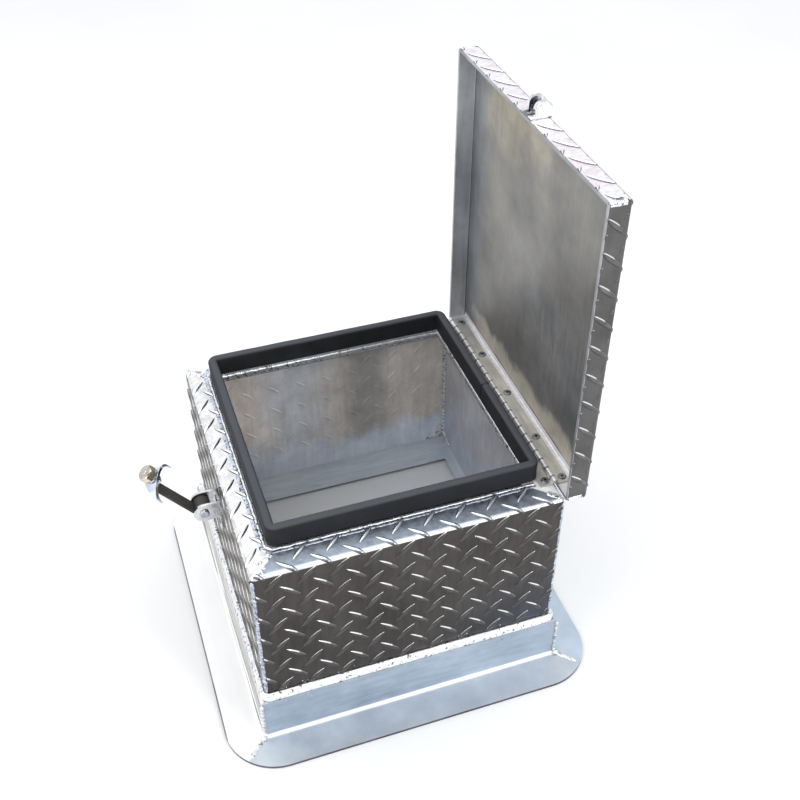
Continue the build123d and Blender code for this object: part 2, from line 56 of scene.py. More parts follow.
def islands(node):
    """The (low, high) corners of each connected patch of a node's surface, in millimetres.
    The import splits the surface at sharp edges, so one solid gives several patches."""
    bm = bmesh.new()
    bm.from_mesh(nodes[node].data)
    todo, found = set(bm.verts), []
    while todo:
        group, front = set(), [todo.pop()]
        while front:
            vert = front.pop()
            group.add(vert)
            for edge in vert.link_edges:
                other = edge.other_vert(vert)
                if other in todo:
                    todo.discard(other)
                    front.append(other)
        low = Vector([min(v.co[i] for v in group) for i in range(3)]) / MM
        high = Vector([max(v.co[i] for v in group) for i in range(3)]) / MM
        found.append((low, high))
    bm.free()
    # A set has no fixed order and some patches share a low corner, so both corners are sorted on.
    return sorted(found, key=lambda box: (*box[0], *box[1]))


# ---- sizes, from the frame where it gives them --------------------
wall_high = mm_box("wall_front")[1]
HALF_X = mm_box("wall_right")[1].x
HALF_Y = mm_box("wall_back")[1].y
TOP_Z = wall_high.z
SHEET = 3.2
TOP_BEND_R = 4.5
CORNER_R = 4.8

angle_low, angle_high = mm_box("base_angle_front")
RISER_OUT = 6.3
RISER_X = HALF_X + RISER_OUT
RISER_Y = HALF_Y + RISER_OUT
RISER_Z = angle_high.z
FLANGE_OUT = -angle_low.y - RISER_Y
FLANGE_X = RISER_X + FLANGE_OUT
FLANGE_CORNER_R = 55.0
BASE_BEND_R = 5.0
WALL_FOOT_Z = mm_box("base_weld")[0].z
BEAD_TOE_Z = mm_box("base_weld")[1].z
BEAD_OUT = 5.4

seal_low, seal_high = mm_box("lid_seal")
SEAL_W = 9.5
SEAL_CORNER_R = 10.0
SEAL_JOINT_Y = 3.3
SEAL_JOINT_GAP = 0.6
COAMING_T = 3.0
coaming_high = mm_box("coaming")[1]

pan_low, pan_high = mm_box("lid_pan")

pin_low, pin_high = mm_box("latch_pin")
PIVOT = (pin_low + pin_high) / 2
STRAP_LEAN = radians(52.5)
STRAP_ALONG = Vector((-cos(STRAP_LEAN), 0, sin(STRAP_LEAN)))
STRAP_OUTER = Vector((-sin(STRAP_LEAN), 0, -cos(STRAP_LEAN)))
STRAP_T = 3.4
STRAP_EYE_R = 8.5
STRAP_BORE_R = 3.2
STRAP_LENGTH = 60.0
strap_low, strap_high = mm_box("latch_strap")

# ---- tread pattern --------------------
PITCH_U = 31.2                 # along the sheet's width
PITCH_V = 30.4                 # along its height
LUG_LENGTH = 27.5
LUG_WIDTH = 5.8
LUG_HEIGHT = 1.6
LUG_SINK = 0.35


# ==== materials ====================
CLOUDS = (0.3, 0.7)            # most of a noise texture lies between these values
SOOT = (0.10, 0.10, 0.10)


def add(tree, kind, **settings):
    node = tree.nodes.new(kind)
    for key, value in settings.items():
        setattr(node, key, value)
    return node


def new_material(name, metallic):
    material = bpy.data.materials.new(name)
    material.use_nodes = True
    shader = material.node_tree.nodes["Principled BSDF"]
    shader.inputs["Metallic"].default_value = metallic
    return material, material.node_tree, shader


def coordinates(tree, scale=(1, 1, 1)):
    where = add(tree, "ShaderNodeTexCoord")
    mapping = add(tree, "ShaderNodeMapping")
    mapping.inputs["Scale"].default_value = scale
    tree.links.new(where.outputs["Object"], mapping.inputs["Vector"])
    return mapping.outputs["Vector"]


def noise_value(tree, vector, scale, detail, roughness):
    texture = add(tree, "ShaderNodeTexNoise")
    texture.inputs["Scale"].default_value = scale
    texture.inputs["Detail"].default_value = detail
    texture.inputs["Roughness"].default_value = roughness
    tree.links.new(vector, texture.inputs["Vector"])
    return texture.outputs["Fac"]


def ramp(tree, value, stops):
    node = add(tree, "ShaderNodeValToRGB")
    elements = node.color_ramp.elements
    while len(elements) < len(stops):
        elements.new(0.5)
    for element, (position, colour) in zip(elements, stops):
        element.position = position
        element.color = (*colour, 1)
    tree.links.new(value, node.inputs["Fac"])
    return node.outputs["Color"]


def grey(level):
    return (level, level, level)


def span(tree, value, low, high, to_low=0.0, to_high=1.0):
    node = add(tree, "ShaderNodeMapRange")
    node.inputs["From Min"].default_value = low
    node.inputs["From Max"].default_value = high
    node.inputs["To Min"].default_value = to_low
    node.inputs["To Max"].default_value = to_high
    tree.links.new(value, node.inputs["Value"])
    return node.outputs["Result"]


def blend_colours(tree, factor, first, second, mode="MIX"):
    node = add(tree, "ShaderNodeMix", data_type="RGBA", blend_type=mode)
    if isinstance(factor, float):
        node.inputs["Factor"].default_value = factor
    else:
        tree.links.new(factor, node.inputs["Factor"])
    for socket, value in ((node.inputs["A"], first), (node.inputs["B"], second)):
        if isinstance(value, tuple):
            socket.default_value = (*value, 1)
        else:
            tree.links.new(value, socket)
    return node.outputs["Result"]


def bump(tree, height, strength, distance, shader):
    node = add(tree, "ShaderNodeBump")
    node.inputs["Strength"].default_value = strength
    node.inputs["Distance"].default_value = distance
    tree.links.new(height, node.inputs["Height"])
    tree.links.new(node.outputs["Normal"], shader.inputs["Normal"])


def toward(direction, low, high):
    """Where the surface faces a direction of the object: 0 at low to 1 at high."""
    def factor(tree):
        where = add(tree, "ShaderNodeTexCoord")
        dot = add(tree, "ShaderNodeVectorMath", operation="DOT_PRODUCT")
        tree.links.new(where.outputs["Normal"], dot.inputs[0])
        dot.inputs[1].default_value = Vector(direction).normalized()
        return span(tree, dot.outputs["Value"], low, high)
    return factor


def beyond(axis, low, high, wave=0.0):
    """Where an object coordinate, in millimetres, runs from low (0) to high (1).
    wave is how far, in millimetres, the edge of the stretch wanders."""
    def factor(tree):
        where = add(tree, "ShaderNodeTexCoord")
        split = add(tree, "ShaderNodeSeparateXYZ")
        tree.links.new(where.outputs["Object"], split.inputs["Vector"])
        place = split.outputs[axis]
        if wave:
            clouds = noise_value(tree, coordinates(tree), 28.0, 4.0, 0.6)
            wander = span(tree, clouds, *CLOUDS, -wave * MM, wave * MM)
            total = add(tree, "ShaderNodeMath", operation="ADD")
            tree.links.new(place, total.inputs[0])
            tree.links.new(wander, total.inputs[1])
            place = total.outputs["Value"]
        return span(tree, place, low * MM, high * MM)
    return factor


def rolling_lines(tree):
    """Fine lines left by the rolls, along Y."""
    grain = noise_value(tree, coordinates(tree, (5, 0.1, 5)), 90.0, 2.0, 0.5)
    return span(tree, grain, 0.50, 0.58)


def stored(name):
    """A value kept on the mesh's points."""
    def factor(tree):
        return add(tree, "ShaderNodeAttribute", attribute_name=name).outputs["Fac"]
    return factor


def both(first, second):
    """Where two places overlap."""
    def factor(tree):
        product = add(tree, "ShaderNodeMath", operation="MULTIPLY")
        tree.links.new(first(tree), product.inputs[0])
        tree.links.new(second(tree), product.inputs[1])
        return product.outputs["Value"]
    return factor


def sheet_metal(name, dark, light, rough, streak=(3, 3, 0.4), layers=(), depth=0.35, metallic=1.0,
                patch_scale=16.0):
    """Rolled sheet: streaks along the rolling direction, soft patches and a varied gloss.
    Each layer is (where, dark, light): a colour that some faces have in place of the first; most layers
    are painted light and shade, set by the direction a face points."""
    material, tree, shader = new_material(name, metallic)
    streaks = noise_value(tree, coordinates(tree, streak), 60.0, 6.0, 0.6)
    patches = noise_value(tree, coordinates(tree), patch_scale, 5.0, 0.6)
    colour = ramp(tree, patches, [(0.32, dark), (0.68, light)])
    for where, layer_dark, layer_light in layers:
        finish = ramp(tree, patches, [(0.32, layer_dark), (0.68, layer_light)])
        colour = blend_colours(tree, where(tree), colour, finish)
    shade = ramp(tree, streaks, [(0.32, grey(1 - depth)), (0.62, grey(1.0))])
    colour = blend_colours(tree, 0.8, colour, shade, "MULTIPLY")
    tree.links.new(colour, shader.inputs["Base Color"])
    tree.links.new(span(tree, streaks, *CLOUDS, *rough), shader.inputs["Roughness"])
    bump(tree, streaks, 0.14, 0.0004, shader)
    return material


def lug_metal(name, dark, light, bright, lit_side, layers=()):
    """Raised lugs: dull like their sheet, with a painted highlight along the edge on their lit side."""
    material, tree, shader = new_material(name, 1.0)
    cloudy = noise_value(tree, coordinates(tree), 90.0, 4.0, 0.6)
    colour = ramp(tree, cloudy, [(0.3, dark), (0.7, light)])
    # Painted highlight: faces turned to lit_side are painted bright where the stored highlight share is
    # high.
    lit = both(toward(lit_side, 0.42, 0.58), stored("painted_highlight"))
    colour = blend_colours(tree, lit(tree), colour, bright)
    # The layers paint more highlights and shade on the lugs.
    for where, layer_colour in layers:
        colour = blend_colours(tree, where(tree), colour, layer_colour)
    tree.links.new(colour, shader.inputs["Base Color"])
    tree.links.new(span(tree, cloudy, *CLOUDS, 0.22, 0.36), shader.inputs["Roughness"])
    bump(tree, cloudy, 0.2, 0.0003, shader)
    return material


def weld_metal(name, dark, light):
    """Bright rippled bead with sooty dabs, darkened where it faces down as painted shade."""
    material, tree, shader = new_material(name, 1.0)
    fine = noise_value(tree, coordinates(tree), 260.0, 5.0, 0.65)
    spots = noise_value(tree, coordinates(tree), 270.0, 3.0, 0.6)
    colour = ramp(tree, fine, [(0.3, dark), (0.6, light)])
    dabs = ramp(tree, spots, [(0.37, SOOT), (0.41, grey(1.0))])
    colour = blend_colours(tree, 0.9, colour, dabs, "MULTIPLY")
    # Painted shade: the bead is darkened where it faces down.
    shade = ramp(tree, toward(UP, -0.30, 0.12)(tree), [(0.0, grey(0.30)), (1.0, grey(1.0))])
    colour = blend_colours(tree, 1.0, colour, shade, "MULTIPLY")
    tree.links.new(colour, shader.inputs["Base Color"])
    tree.links.new(span(tree, fine, *CLOUDS, 0.26, 0.5), shader.inputs["Roughness"])
    bump(tree, fine, 0.35, 0.0006, shader)
    return material


def rubber(name, dark, light, top, gloss):
    """Matt rubber, paler where it faces up as a painted highlight."""
    material, tree, shader = new_material(name, 0.0)
    cloudy = noise_value(tree, coordinates(tree), 45.0, 5.0, 0.6)
    grain = noise_value(tree, coordinates(tree), 900.0, 2.0, 0.5)
    colour = ramp(tree, cloudy, [(0.35, dark), (0.7, light)])
    # Painted highlight: the up-facing side is paler.
    colour = blend_colours(tree, toward(UP, 0.45, 0.95)(tree), colour, top)
    tree.links.new(colour, shader.inputs["Base Color"])
    shader.inputs["Specular IOR Level"].default_value = 0.25
    tree.links.new(span(tree, cloudy, *CLOUDS, gloss, gloss + 0.18), shader.inputs["Roughness"])
    bump(tree, grain, 0.25, 0.0002, shader)
    return material


def fitting_metal(name, dark, light, rough, scale=120.0):
    """Small steel and aluminium fittings, lightly clouded."""
    material, tree, shader = new_material(name, 1.0)
    cloudy = noise_value(tree, coordinates(tree), scale, 4.0, 0.6)
    tree.links.new(ramp(tree, cloudy, [(0.3, dark), (0.7, light)]), shader.inputs["Base Color"])
    tree.links.new(span(tree, cloudy, *CLOUDS, *rough), shader.inputs["Roughness"])
    bump(tree, cloudy, 0.15, 0.0003, shader)
    return material


WHITE = (0.90, 0.91, 0.92)
WHITE_BRIGHT = (0.97, 0.97, 0.97)
MID = (0.22, 0.215, 0.21)
MID_LIGHT = (0.37, 0.36, 0.35)
SATIN = (0.30, 0.44)           # gloss, as the range of roughness
DULL = (0.42, 0.56)
MILL = (0.40, 0.54)
PLATED = (0.14, 0.28)
# ON_TOP picks the up-facing faces; the layers that use it recolour them as painted highlights and
# reflections, white on most parts.
ON_TOP = toward(UP, 0.30, 0.45)
FACES_FRONT = toward((0, -1, 0), 0.5, 0.8)
FACES_LEFT = toward((-1, 0, 0), 0.5, 0.8)

# Painted shade: the front wall's dark colour stands in for the dark reflection of the ground, bluer
# towards its lower right. Its up-facing bend is painted white as a highlight and its top flange bluish
# grey as a painted reflection.
WALL_FRONT = sheet_metal(
    "front_wall_plate", (0.062, 0.056, 0.052), (0.098, 0.090, 0.084), SATIN,
    layers=[(both(beyond("X", 20, 130), beyond("Z", 150, 70)),
             (0.070, 0.074, 0.092), (0.105, 0.112, 0.135)),
            (ON_TOP, WHITE, WHITE_BRIGHT),
            (toward(UP, 0.90, 0.99), (0.30, 0.35, 0.43), (0.48, 0.54, 0.62))])
# Painted highlight: the left wall's up-facing faces are painted white.
WALL_LEFT = sheet_metal("left_wall_plate", (0.11, 0.10, 0.092), (0.20, 0.185, 0.17), SATIN,
                        layers=[(ON_TOP, WHITE_BRIGHT, grey(1.0))])
# Painted light: the back wall's inside face is painted pale, with painted reflections over it: a bluer
# band, a darker band and a bluer foot. Its up-facing faces are painted white as a highlight.
WALL_BACK = sheet_metal(
    "back_wall_plate", MID, MID_LIGHT, DULL, metallic=0.22, patch_scale=34.0, depth=0.2,
    layers=[(FACES_FRONT, (0.66, 0.60, 0.54), (0.90, 0.83, 0.76)),
            (both(FACES_FRONT, both(beyond("X", -90, -50, 12), beyond("X", 20, -20, 12))),
             (0.55, 0.56, 0.60), (0.74, 0.76, 0.80)),
            (both(FACES_FRONT, both(beyond("X", 12, 40, 10), beyond("X", 84, 60, 10))),
             (0.40, 0.38, 0.36), (0.58, 0.55, 0.52)),
            (both(FACES_FRONT, beyond("Z", 104, 80, 14)), (0.66, 0.74, 0.86), (0.86, 0.92, 1.0)),
            (ON_TOP, WHITE, WHITE_BRIGHT)])
# Painted light: the right wall's inside face is painted pale grey, bluer towards its foot as a painted
# reflection. Its up-facing faces are painted white as a highlight.
WALL_RIGHT = sheet_metal(
    "right_wall_plate", MID, MID_LIGHT, DULL, metallic=0.35, patch_scale=24.0, depth=0.2,
    layers=[(FACES_LEFT, (0.46, 0.46, 0.49), (0.62, 0.63, 0.67)),
            (both(FACES_LEFT, beyond("Z", 110, 85, 14)),
             (0.46, 0.51, 0.60), (0.62, 0.68, 0.78)),
            (ON_TOP, WHITE, WHITE_BRIGHT)])
LID_FOOT = pan_low.z + SHEET
# Most of the lid's layers are painted light and shade, as marked below.
LID = sheet_metal(
    "lid_plate", MID, MID_LIGHT, DULL, streak=(3, 5, 0.35), depth=0.22, metallic=0.85,
    patch_scale=13.0,
    layers=[(FACES_LEFT, (0.205, 0.200, 0.188), (0.345, 0.335, 0.312)),
            # Painted reflection: a greyer patch low on the inside, towards the near end.
            (both(FACES_LEFT, both(beyond("Z", 410, 350, 40), beyond("Y", 50, -40, 30))),
             (0.195, 0.197, 0.202), (0.390, 0.388, 0.386)),
            # Painted highlight: a warm patch high on the inside, under the free edge.
            (both(FACES_LEFT, both(beyond("Z", 470, 525, 22), beyond("Y", -30, 40, 22))),
             (0.30, 0.27, 0.21), (0.56, 0.51, 0.40)),
            # Painted reflection of the hinge: a pale beige band low on the inside.
            (both(FACES_LEFT, beyond("Z", LID_FOOT + 34, LID_FOOT + 24, 7)),
             (0.50, 0.47, 0.40), (0.80, 0.75, 0.66)),
            # Painted reflection: a bluer strip at the far end of the inside.
            (both(FACES_LEFT, beyond("Y", 108, 136, 12)), (0.235, 0.245, 0.260), (0.385, 0.395, 0.415)),
            # Painted shadow: a dark line on the inside just above the foot.
            (both(FACES_LEFT, beyond("Z", LID_FOOT + 7.0, LID_FOOT + 6.0, 1.5)),
             (0.06, 0.055, 0.05), (0.30, 0.28, 0.25)),
            # Painted highlight: a white strip along the inside of the foot.
            (both(FACES_LEFT, beyond("Z", LID_FOOT + 5.5, LID_FOOT + 4.5)), WHITE, WHITE_BRIGHT),
            # Painted shade: the near end is dark.
            (FACES_FRONT, (0.078, 0.076, 0.075), (0.165, 0.160, 0.156)),
            # Painted reflection: the inside of the far end is blue-grey.
            (both(FACES_FRONT, beyond("Y", 100, 120)), (0.42, 0.44, 0.46), (0.68, 0.70, 0.72)),
            # Painted shade: a dark line in the far end's inside corner.
            (both(toward((-1, -1, 0), 0.90, 0.97), beyond("Y", 100, 120)), grey(0.10), grey(0.16)),
            # Painted highlight and reflection: the up-facing free edge is near white, tinted pink and
            # blue.
            (ON_TOP, (0.90, 0.82, 0.84), (0.92, 0.96, 1.0)),
            # The fold between the outside and the free edge is greyer.
            (toward((1, 0, 1), 0.86, 0.95), (0.22, 0.23, 0.25), (0.42, 0.43, 0.46)),
            # Painted highlight: the cut rims at the lid's lowest X are pale.
            (beyond("X", pan_low.x + 0.6, pan_low.x + 0.3), (0.30, 0.31, 0.33), (0.62, 0.63, 0.65))])
# Painted shade: FLANGE_EDGE picks the thin edges of the base flanges, which EDGE_DARK paints near
# black.
FLANGE_EDGE = both(toward(UP, 0.6, 0.3), beyond("Z", SHEET + 0.3, SHEET))
EDGE_DARK = (FLANGE_EDGE, (0.05, 0.05, 0.06), (0.14, 0.14, 0.16))
# Painted highlight: the base angle's up-facing bend is painted white, and its flat flange paler
# blue-grey as a painted reflection.
BASE = sheet_metal(
    "base_mill_finish", (0.33, 0.40, 0.49), (0.50, 0.58, 0.68), MILL, streak=(0.4, 0.4, 3),
    metallic=0.55, depth=0.22,
    layers=[(ON_TOP, WHITE, WHITE_BRIGHT),
            (toward(UP, 0.93, 0.99), (0.50, 0.56, 0.63), (0.64, 0.69, 0.74)), EDGE_DARK])
# Painted highlight: the left base angle's up-facing faces are painted white; painted shade: its
# flange's outer rim is dark.
BASE_LEFT = sheet_metal(
    "base_mill_finish_left", (0.50, 0.48, 0.45), (0.72, 0.70, 0.67), (0.36, 0.50), streak=(3, 0.2, 3),
    metallic=0.5, depth=0.05,
    layers=[(ON_TOP, WHITE_BRIGHT, grey(1.0)),
            (both(toward(UP, 0.985, 0.90), rolling_lines), (0.27, 0.255, 0.23), (0.42, 0.40, 0.37)),
            (beyond("X", 1.5 - FLANGE_X, 1.1 - FLANGE_X), grey(0.10), grey(0.30)), EDGE_DARK])
# Painted light: the back and right base angles' up-facing faces are painted a darker blue-grey, and
# their edges near black as painted shade.
BASE_BACK = sheet_metal(
    "base_mill_finish_inside", (0.74, 0.83, 0.94), (0.90, 0.96, 1.0), MILL, streak=(0.4, 0.4, 3),
    metallic=0.12, depth=0.2,
    layers=[(ON_TOP, (0.45, 0.54, 0.64), (0.57, 0.65, 0.74)), EDGE_DARK])
LIP = sheet_metal("lip_mill_finish", (0.70, 0.74, 0.80), (0.92, 0.94, 0.97), SATIN, depth=0.2)

# The lug finishes below are painted light: dark tones for shade, painted highlights on lit edges and
# crowns, painted shade on flanks.
FACE_LIT = (0.25, 0, 0.97)     # the lit edge of a lug on a face that looks to the front
STEEP = both(toward(UP, 0.84, 0.74), beyond("Z", TOP_Z - 0.8, TOP_Z - 0.5))  # lug flanks on a level face, which the lug layers paint dark as shade
# Lug crowns on a level face, which the lug layers paint white as a highlight.
LUG_CROWN = toward(UP, 0.62, 0.80)
# Painted shade: the front's lugs are as dark as its wall.
LUG_FRONT = lug_metal("front_lugs", (0.072, 0.067, 0.064), (0.118, 0.113, 0.110), WHITE_BRIGHT,
                      FACE_LIT, [(LUG_CROWN, (0.88, 0.90, 0.93)), (STEEP, (0.20, 0.23, 0.30))])
# Painted shade on the flanks of the lugs next to the seal on the left.
NEAR_LEFT_SEAL = both(STEEP, beyond("X", 9.0 - HALF_X, 14.0 - HALF_X, 2.0))
LUG_LEFT = lug_metal("left_lugs", (0.085, 0.078, 0.073), (0.17, 0.16, 0.15), (0.36, 0.35, 0.34),
                     (0, -0.35, 0.94),
                     [(LUG_CROWN, grey(1.0)), (NEAR_LEFT_SEAL, (0.11, 0.09, 0.10))])
LUG_PLAIN = lug_metal("plain_lugs", (0.25, 0.245, 0.24), (0.42, 0.41, 0.40), (0.88, 0.88, 0.88), UP,
                      [(STEEP, (0.24, 0.24, 0.25))])
# Painted highlight: the free edge's lugs are near white, with painted shade on their flanks.
LUG_LID_TOP = lug_metal("lid_top_lugs", (0.84, 0.80, 0.80), WHITE_BRIGHT, WHITE_BRIGHT, UP,
                        [(STEEP, (0.17, 0.14, 0.18))])
# Painted shade: the lid's near-end lugs are dark, with painted highlights on their lit edges.
LUG_LID_END = lug_metal("lid_end_lugs", (0.085, 0.083, 0.082), (0.18, 0.175, 0.17), WHITE_BRIGHT,
                        FACE_LIT)

pin_x = (mm_box("hinge_pin")[0].x + mm_box("hinge_pin")[1].x) / 2
KNUCKLE_PITCH = 12.7
HINGE_KNUCKLES = both(beyond("X", pin_x - 3.2, pin_x - 2.9), beyond("X", pin_x + 3.2, pin_x + 2.9))
# Painted highlight: the knuckles' crowns, facing up and a little to -X, are painted white.
HINGE_CROWN = both(HINGE_KNUCKLES, toward((-0.4, 0, 0.9), 0.25, 0.55))


def knuckle_bands(tree):
    """Dark bands across the hinge, one to each knuckle, near the middle of its length."""
    where = add(tree, "ShaderNodeTexCoord")
    split = add(tree, "ShaderNodeSeparateXYZ")
    tree.links.new(where.outputs["Object"], split.inputs["Vector"])
    turns = add(tree, "ShaderNodeMath", operation="MULTIPLY")
    tree.links.new(split.outputs["Y"], turns.inputs[0])
    turns.inputs[1].default_value = 2 * pi / (KNUCKLE_PITCH * MM)
    wave = add(tree, "ShaderNodeMath", operation="COSINE")
    tree.links.new(turns.outputs["Value"], wave.inputs[0])
    return span(tree, wave.outputs["Value"], 0.70, 0.97)


WELD = weld_metal("weld_bead", (0.74, 0.76, 0.79), (0.97, 0.98, 0.98))
WELD_DULL = weld_metal("weld_dull", (0.26, 0.31, 0.42), (0.74, 0.80, 0.90))
SEAL = rubber("seal_rubber", (0.010, 0.010, 0.012), (0.019, 0.020, 0.024),
              (0.064, 0.068, 0.078), 0.60)
STRAP = rubber("strap_rubber", (0.040, 0.036, 0.032), (0.066, 0.060, 0.055),
               (0.075, 0.068, 0.062), 0.55)
HINGE = sheet_metal("hinge_strip", (0.52, 0.50, 0.46), (0.80, 0.77, 0.72), SATIN, (3, 0.4, 3),
                    [(HINGE_CROWN, WHITE, WHITE_BRIGHT),
                     (both(HINGE_KNUCKLES, knuckle_bands), (0.22, 0.21, 0.20), (0.42, 0.40, 0.38))],
                    metallic=0.6)
RIVET = fitting_metal("rivet_metal", (0.10, 0.105, 0.12), (0.42, 0.43, 0.45), (0.22, 0.36))
# Near black: the mandrels' own dark steel, darkened further as painted shade in the rivets' hollows.
MANDREL = fitting_metal("rivet_mandrel", (0.012, 0.011, 0.010), (0.045, 0.040, 0.036), (0.5, 0.7))
STEEL = fitting_metal("plated_steel", (0.34, 0.36, 0.40), (0.82, 0.84, 0.88), PLATED, 90.0)
BRACKET = fitting_metal("bracket_steel", (0.62, 0.64, 0.68), WHITE_BRIGHT, (0.16, 0.30), 110.0)
keeper_high = mm_box("keeper")[1]
SLOT_SIDES = both(both(beyond("Y", -4.8, -4.5), beyond("Y", 4.8, 4.5)),
                  beyond("Z", keeper_high.z - 6.5, keeper_high.z - 9.5, 1.0))
KEEPER_FOOT = beyond("Z", pan_high.z + 2.0, pan_high.z + 0.8)
# Painted shade: the keeper's foot and the sides of its slot are near black.
KEEPER = sheet_metal("keeper_steel", (0.62, 0.66, 0.74), WHITE_BRIGHT, (0.08, 0.20), depth=0.5,
                     layers=[(KEEPER_FOOT, grey(0.05), grey(0.20)),
                             (SLOT_SIDES, grey(0.05), grey(0.22))])
POLISHED = fitting_metal("polished_handle", (0.50, 0.60, 0.76), (0.84, 0.90, 0.97), (0.08, 0.18), 60.0)
ZINC = fitting_metal("yellow_zinc", (0.42, 0.36, 0.27), (0.86, 0.78, 0.66), PLATED)


def paint(names, material):
    for name in names:
        data = nodes[name].data
        data.materials.clear()
        data.materials.append(material)


paint(["base_angle_front"], BASE)
paint(["base_angle_back", "base_angle_right"], BASE_BACK)
paint(["base_angle_left"], BASE_LEFT)
paint(["wall_front"], WALL_FRONT)
paint(["wall_left"], WALL_LEFT)
paint(["wall_back"], WALL_BACK)
paint(["wall_right"], WALL_RIGHT)
paint(["lid_pan"], LID)
paint(["coaming"], LIP)
paint(["hinge_leaf_box", "hinge_leaf_lid"], HINGE)
paint(["hinge_pin", "latch_pin", "latch_stud", "latch_washer"], STEEL)
paint(["latch_bracket"], BRACKET)
paint(["keeper"], KEEPER)
paint(["hinge_rivets_box", "hinge_rivets_lid", "keeper_rivet", "bracket_rivets"], RIVET)
paint(["latch_handle"], POLISHED)
paint(["latch_nut"], ZINC)


# ==== mesh helpers ====================
def piece(name, bm, body, material, stands_for=()):
    """Makes an object in metres from a bmesh in millimetres and rides it on its body."""
    bmesh.ops.scale(bm, vec=(MM, MM, MM), verts=bm.verts)
    bmesh.ops.recalc_face_normals(bm, faces=bm.faces)
    data = bpy.data.meshes.new(name)
    bm.to_mesh(data)
    bm.free()
    for polygon in data.polygons:
        polygon.use_smooth = True
    data.materials.append(material)
    obj = bpy.data.objects.new(name, data)
    bpy.context.scene.collection.objects.link(obj)
    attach(obj, body)
    if stands_for:
        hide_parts(*stands_for)


def skin(bm, rings, closed=False):
    """Faces between rings of points, with the ends capped unless they close on themselves."""
    rings = [[bm.verts.new(point) for point in ring] for ring in rings]
    count = len(rings[0])
    pairs = list(zip(rings, rings[1:]))
    if closed:
        pairs.append((rings[-1], rings[0]))
    for first, second in pairs:
        for k in range(count):
            n = (k + 1) % count
            bm.faces.new((first[k], first[n], second[n], second[k]))
    if not closed:
        bm.faces.new(list(reversed(rings[0])))
        bm.faces.new(rings[-1])


ARC_STEPS = 10


def rounded_loop(x, y, radius, start_y, step):
    """(point, outward) round a rounded rectangle, anticlockwise from start_y on its +X side."""
    marks = [(Vector((x[1], start_y, 0)), Vector((1, 0, 0)))]
    for cx, cy, turn in ((x[1] - radius, y[1] - radius, 0), (x[0] + radius, y[1] - radius, 90),
                         (x[0] + radius, y[0] + radius, 180), (x[1] - radius, y[0] + radius, 270)):
        for k in range(ARC_STEPS + 1):
            angle = radians(turn + 90 * k / ARC_STEPS)
            out = Vector((cos(angle), sin(angle), 0))
            marks.append((Vector((cx, cy, 0)) + out * radius, out))
    marks.append(marks[0])
    path = []
    for (point, out), (next_point, next_out) in zip(marks, marks[1:]):
        parts = max(1, ceil((next_point - point).length / step))
        for k in range(parts):
            share = k / parts
            path.append((point.lerp(next_point, share), out.lerp(next_out, share).normalized()))
    return path


CORNERS = ((-1, -1), (1, -1), (1, 1), (-1, 1))  # which side of X and of Y, anticlockwise
RIPPLE_PITCH = 2.3
BEAD_STEP = 0.55
BEAD_SIDES = 10
BEAD_TIP = 0.02                # a bead's size at its very ends, as a share of its full size


def weld_run(bm, points, radius, normal, seed, flat):
    """A bead along a line of points: overlapping ripples, lumpy, and rounded off at its ends.
    normal points out of the surface and flat is the bead's height as a share of its half-width."""
    line = [Vector(p) for p in points]
    lengths = [(b - a).length for a, b in zip(line, line[1:])]
    total = sum(lengths)
    rings = []
    count = max(8, ceil(total / BEAD_STEP))
    for i in range(count + 1):
        distance = total * i / count
        rest, leg = distance, 0
        while leg < len(lengths) - 1 and rest > lengths[leg]:
            rest -= lengths[leg]
            leg += 1
        direction = (line[leg + 1] - line[leg]).normalized()
        centre = line[leg] + direction * rest
        across = direction.cross(normal).normalized()
        away = across.cross(direction).normalized()
        ripple = abs(sin(pi * distance / RIPPLE_PITCH)) ** 0.5
        lump = noise.noise(Vector((distance * 0.22, seed, 0)))
        end = min(distance, total - distance) / radius
        taper = sqrt(1 - (1 - min(end, 1)) ** 2) if end > 0 else BEAD_TIP
        size = radius * (0.86 + 0.14 * ripple + 0.22 * lump) * max(taper, BEAD_TIP)
        drift = across * (0.25 * radius * noise.noise(Vector((distance * 0.15, seed, 7))))
        ring = []
        for k in range(BEAD_SIDES):
            angle = 2 * pi * k / BEAD_SIDES
            ring.append(centre + drift + across * (size * cos(angle))
                        + away * (size * flat * sin(angle)))
        rings.append(ring)
    skin(bm, rings)


# ==== lid seal ====================
SEAL_HEIGHT = seal_high.z - seal_low.z
SEAL_HALF = SEAL_W / 2
SLOT_HALF = COAMING_T / 2 + 0.05
SLOT_TOP = coaming_high.z - seal_low.z + 0.1
CROWN_R = 3.2
SEAL_WAVE = 0.28               # how far the seal strays from a straight run
# The seal's side, as (distance out from its half width, height above its foot).
SEAL_SIDE = ((-0.35, 0.0), (0.0, 1.1), (-0.30, 4.5), (-0.38, 9.0), (-0.15, 14.0))
SEAL_ENDS = ((0.0, 0.8), (0.5, 0.35), (1.3, 0.1))  # distance from a cut end, and how rounded off


def seal_section():
    """Half of the push-on profile, foot to crown on its outer side: a bulbed U over the lip."""
    side = [(SEAL_HALF + out, high) for out, high in SEAL_SIDE]
    for k in range(7):
        angle = radians(90 * k / 6)
        side.append((SEAL_HALF - CROWN_R + CROWN_R * cos(angle),
                     SEAL_HEIGHT - CROWN_R + CROWN_R * sin(angle)))
    return side


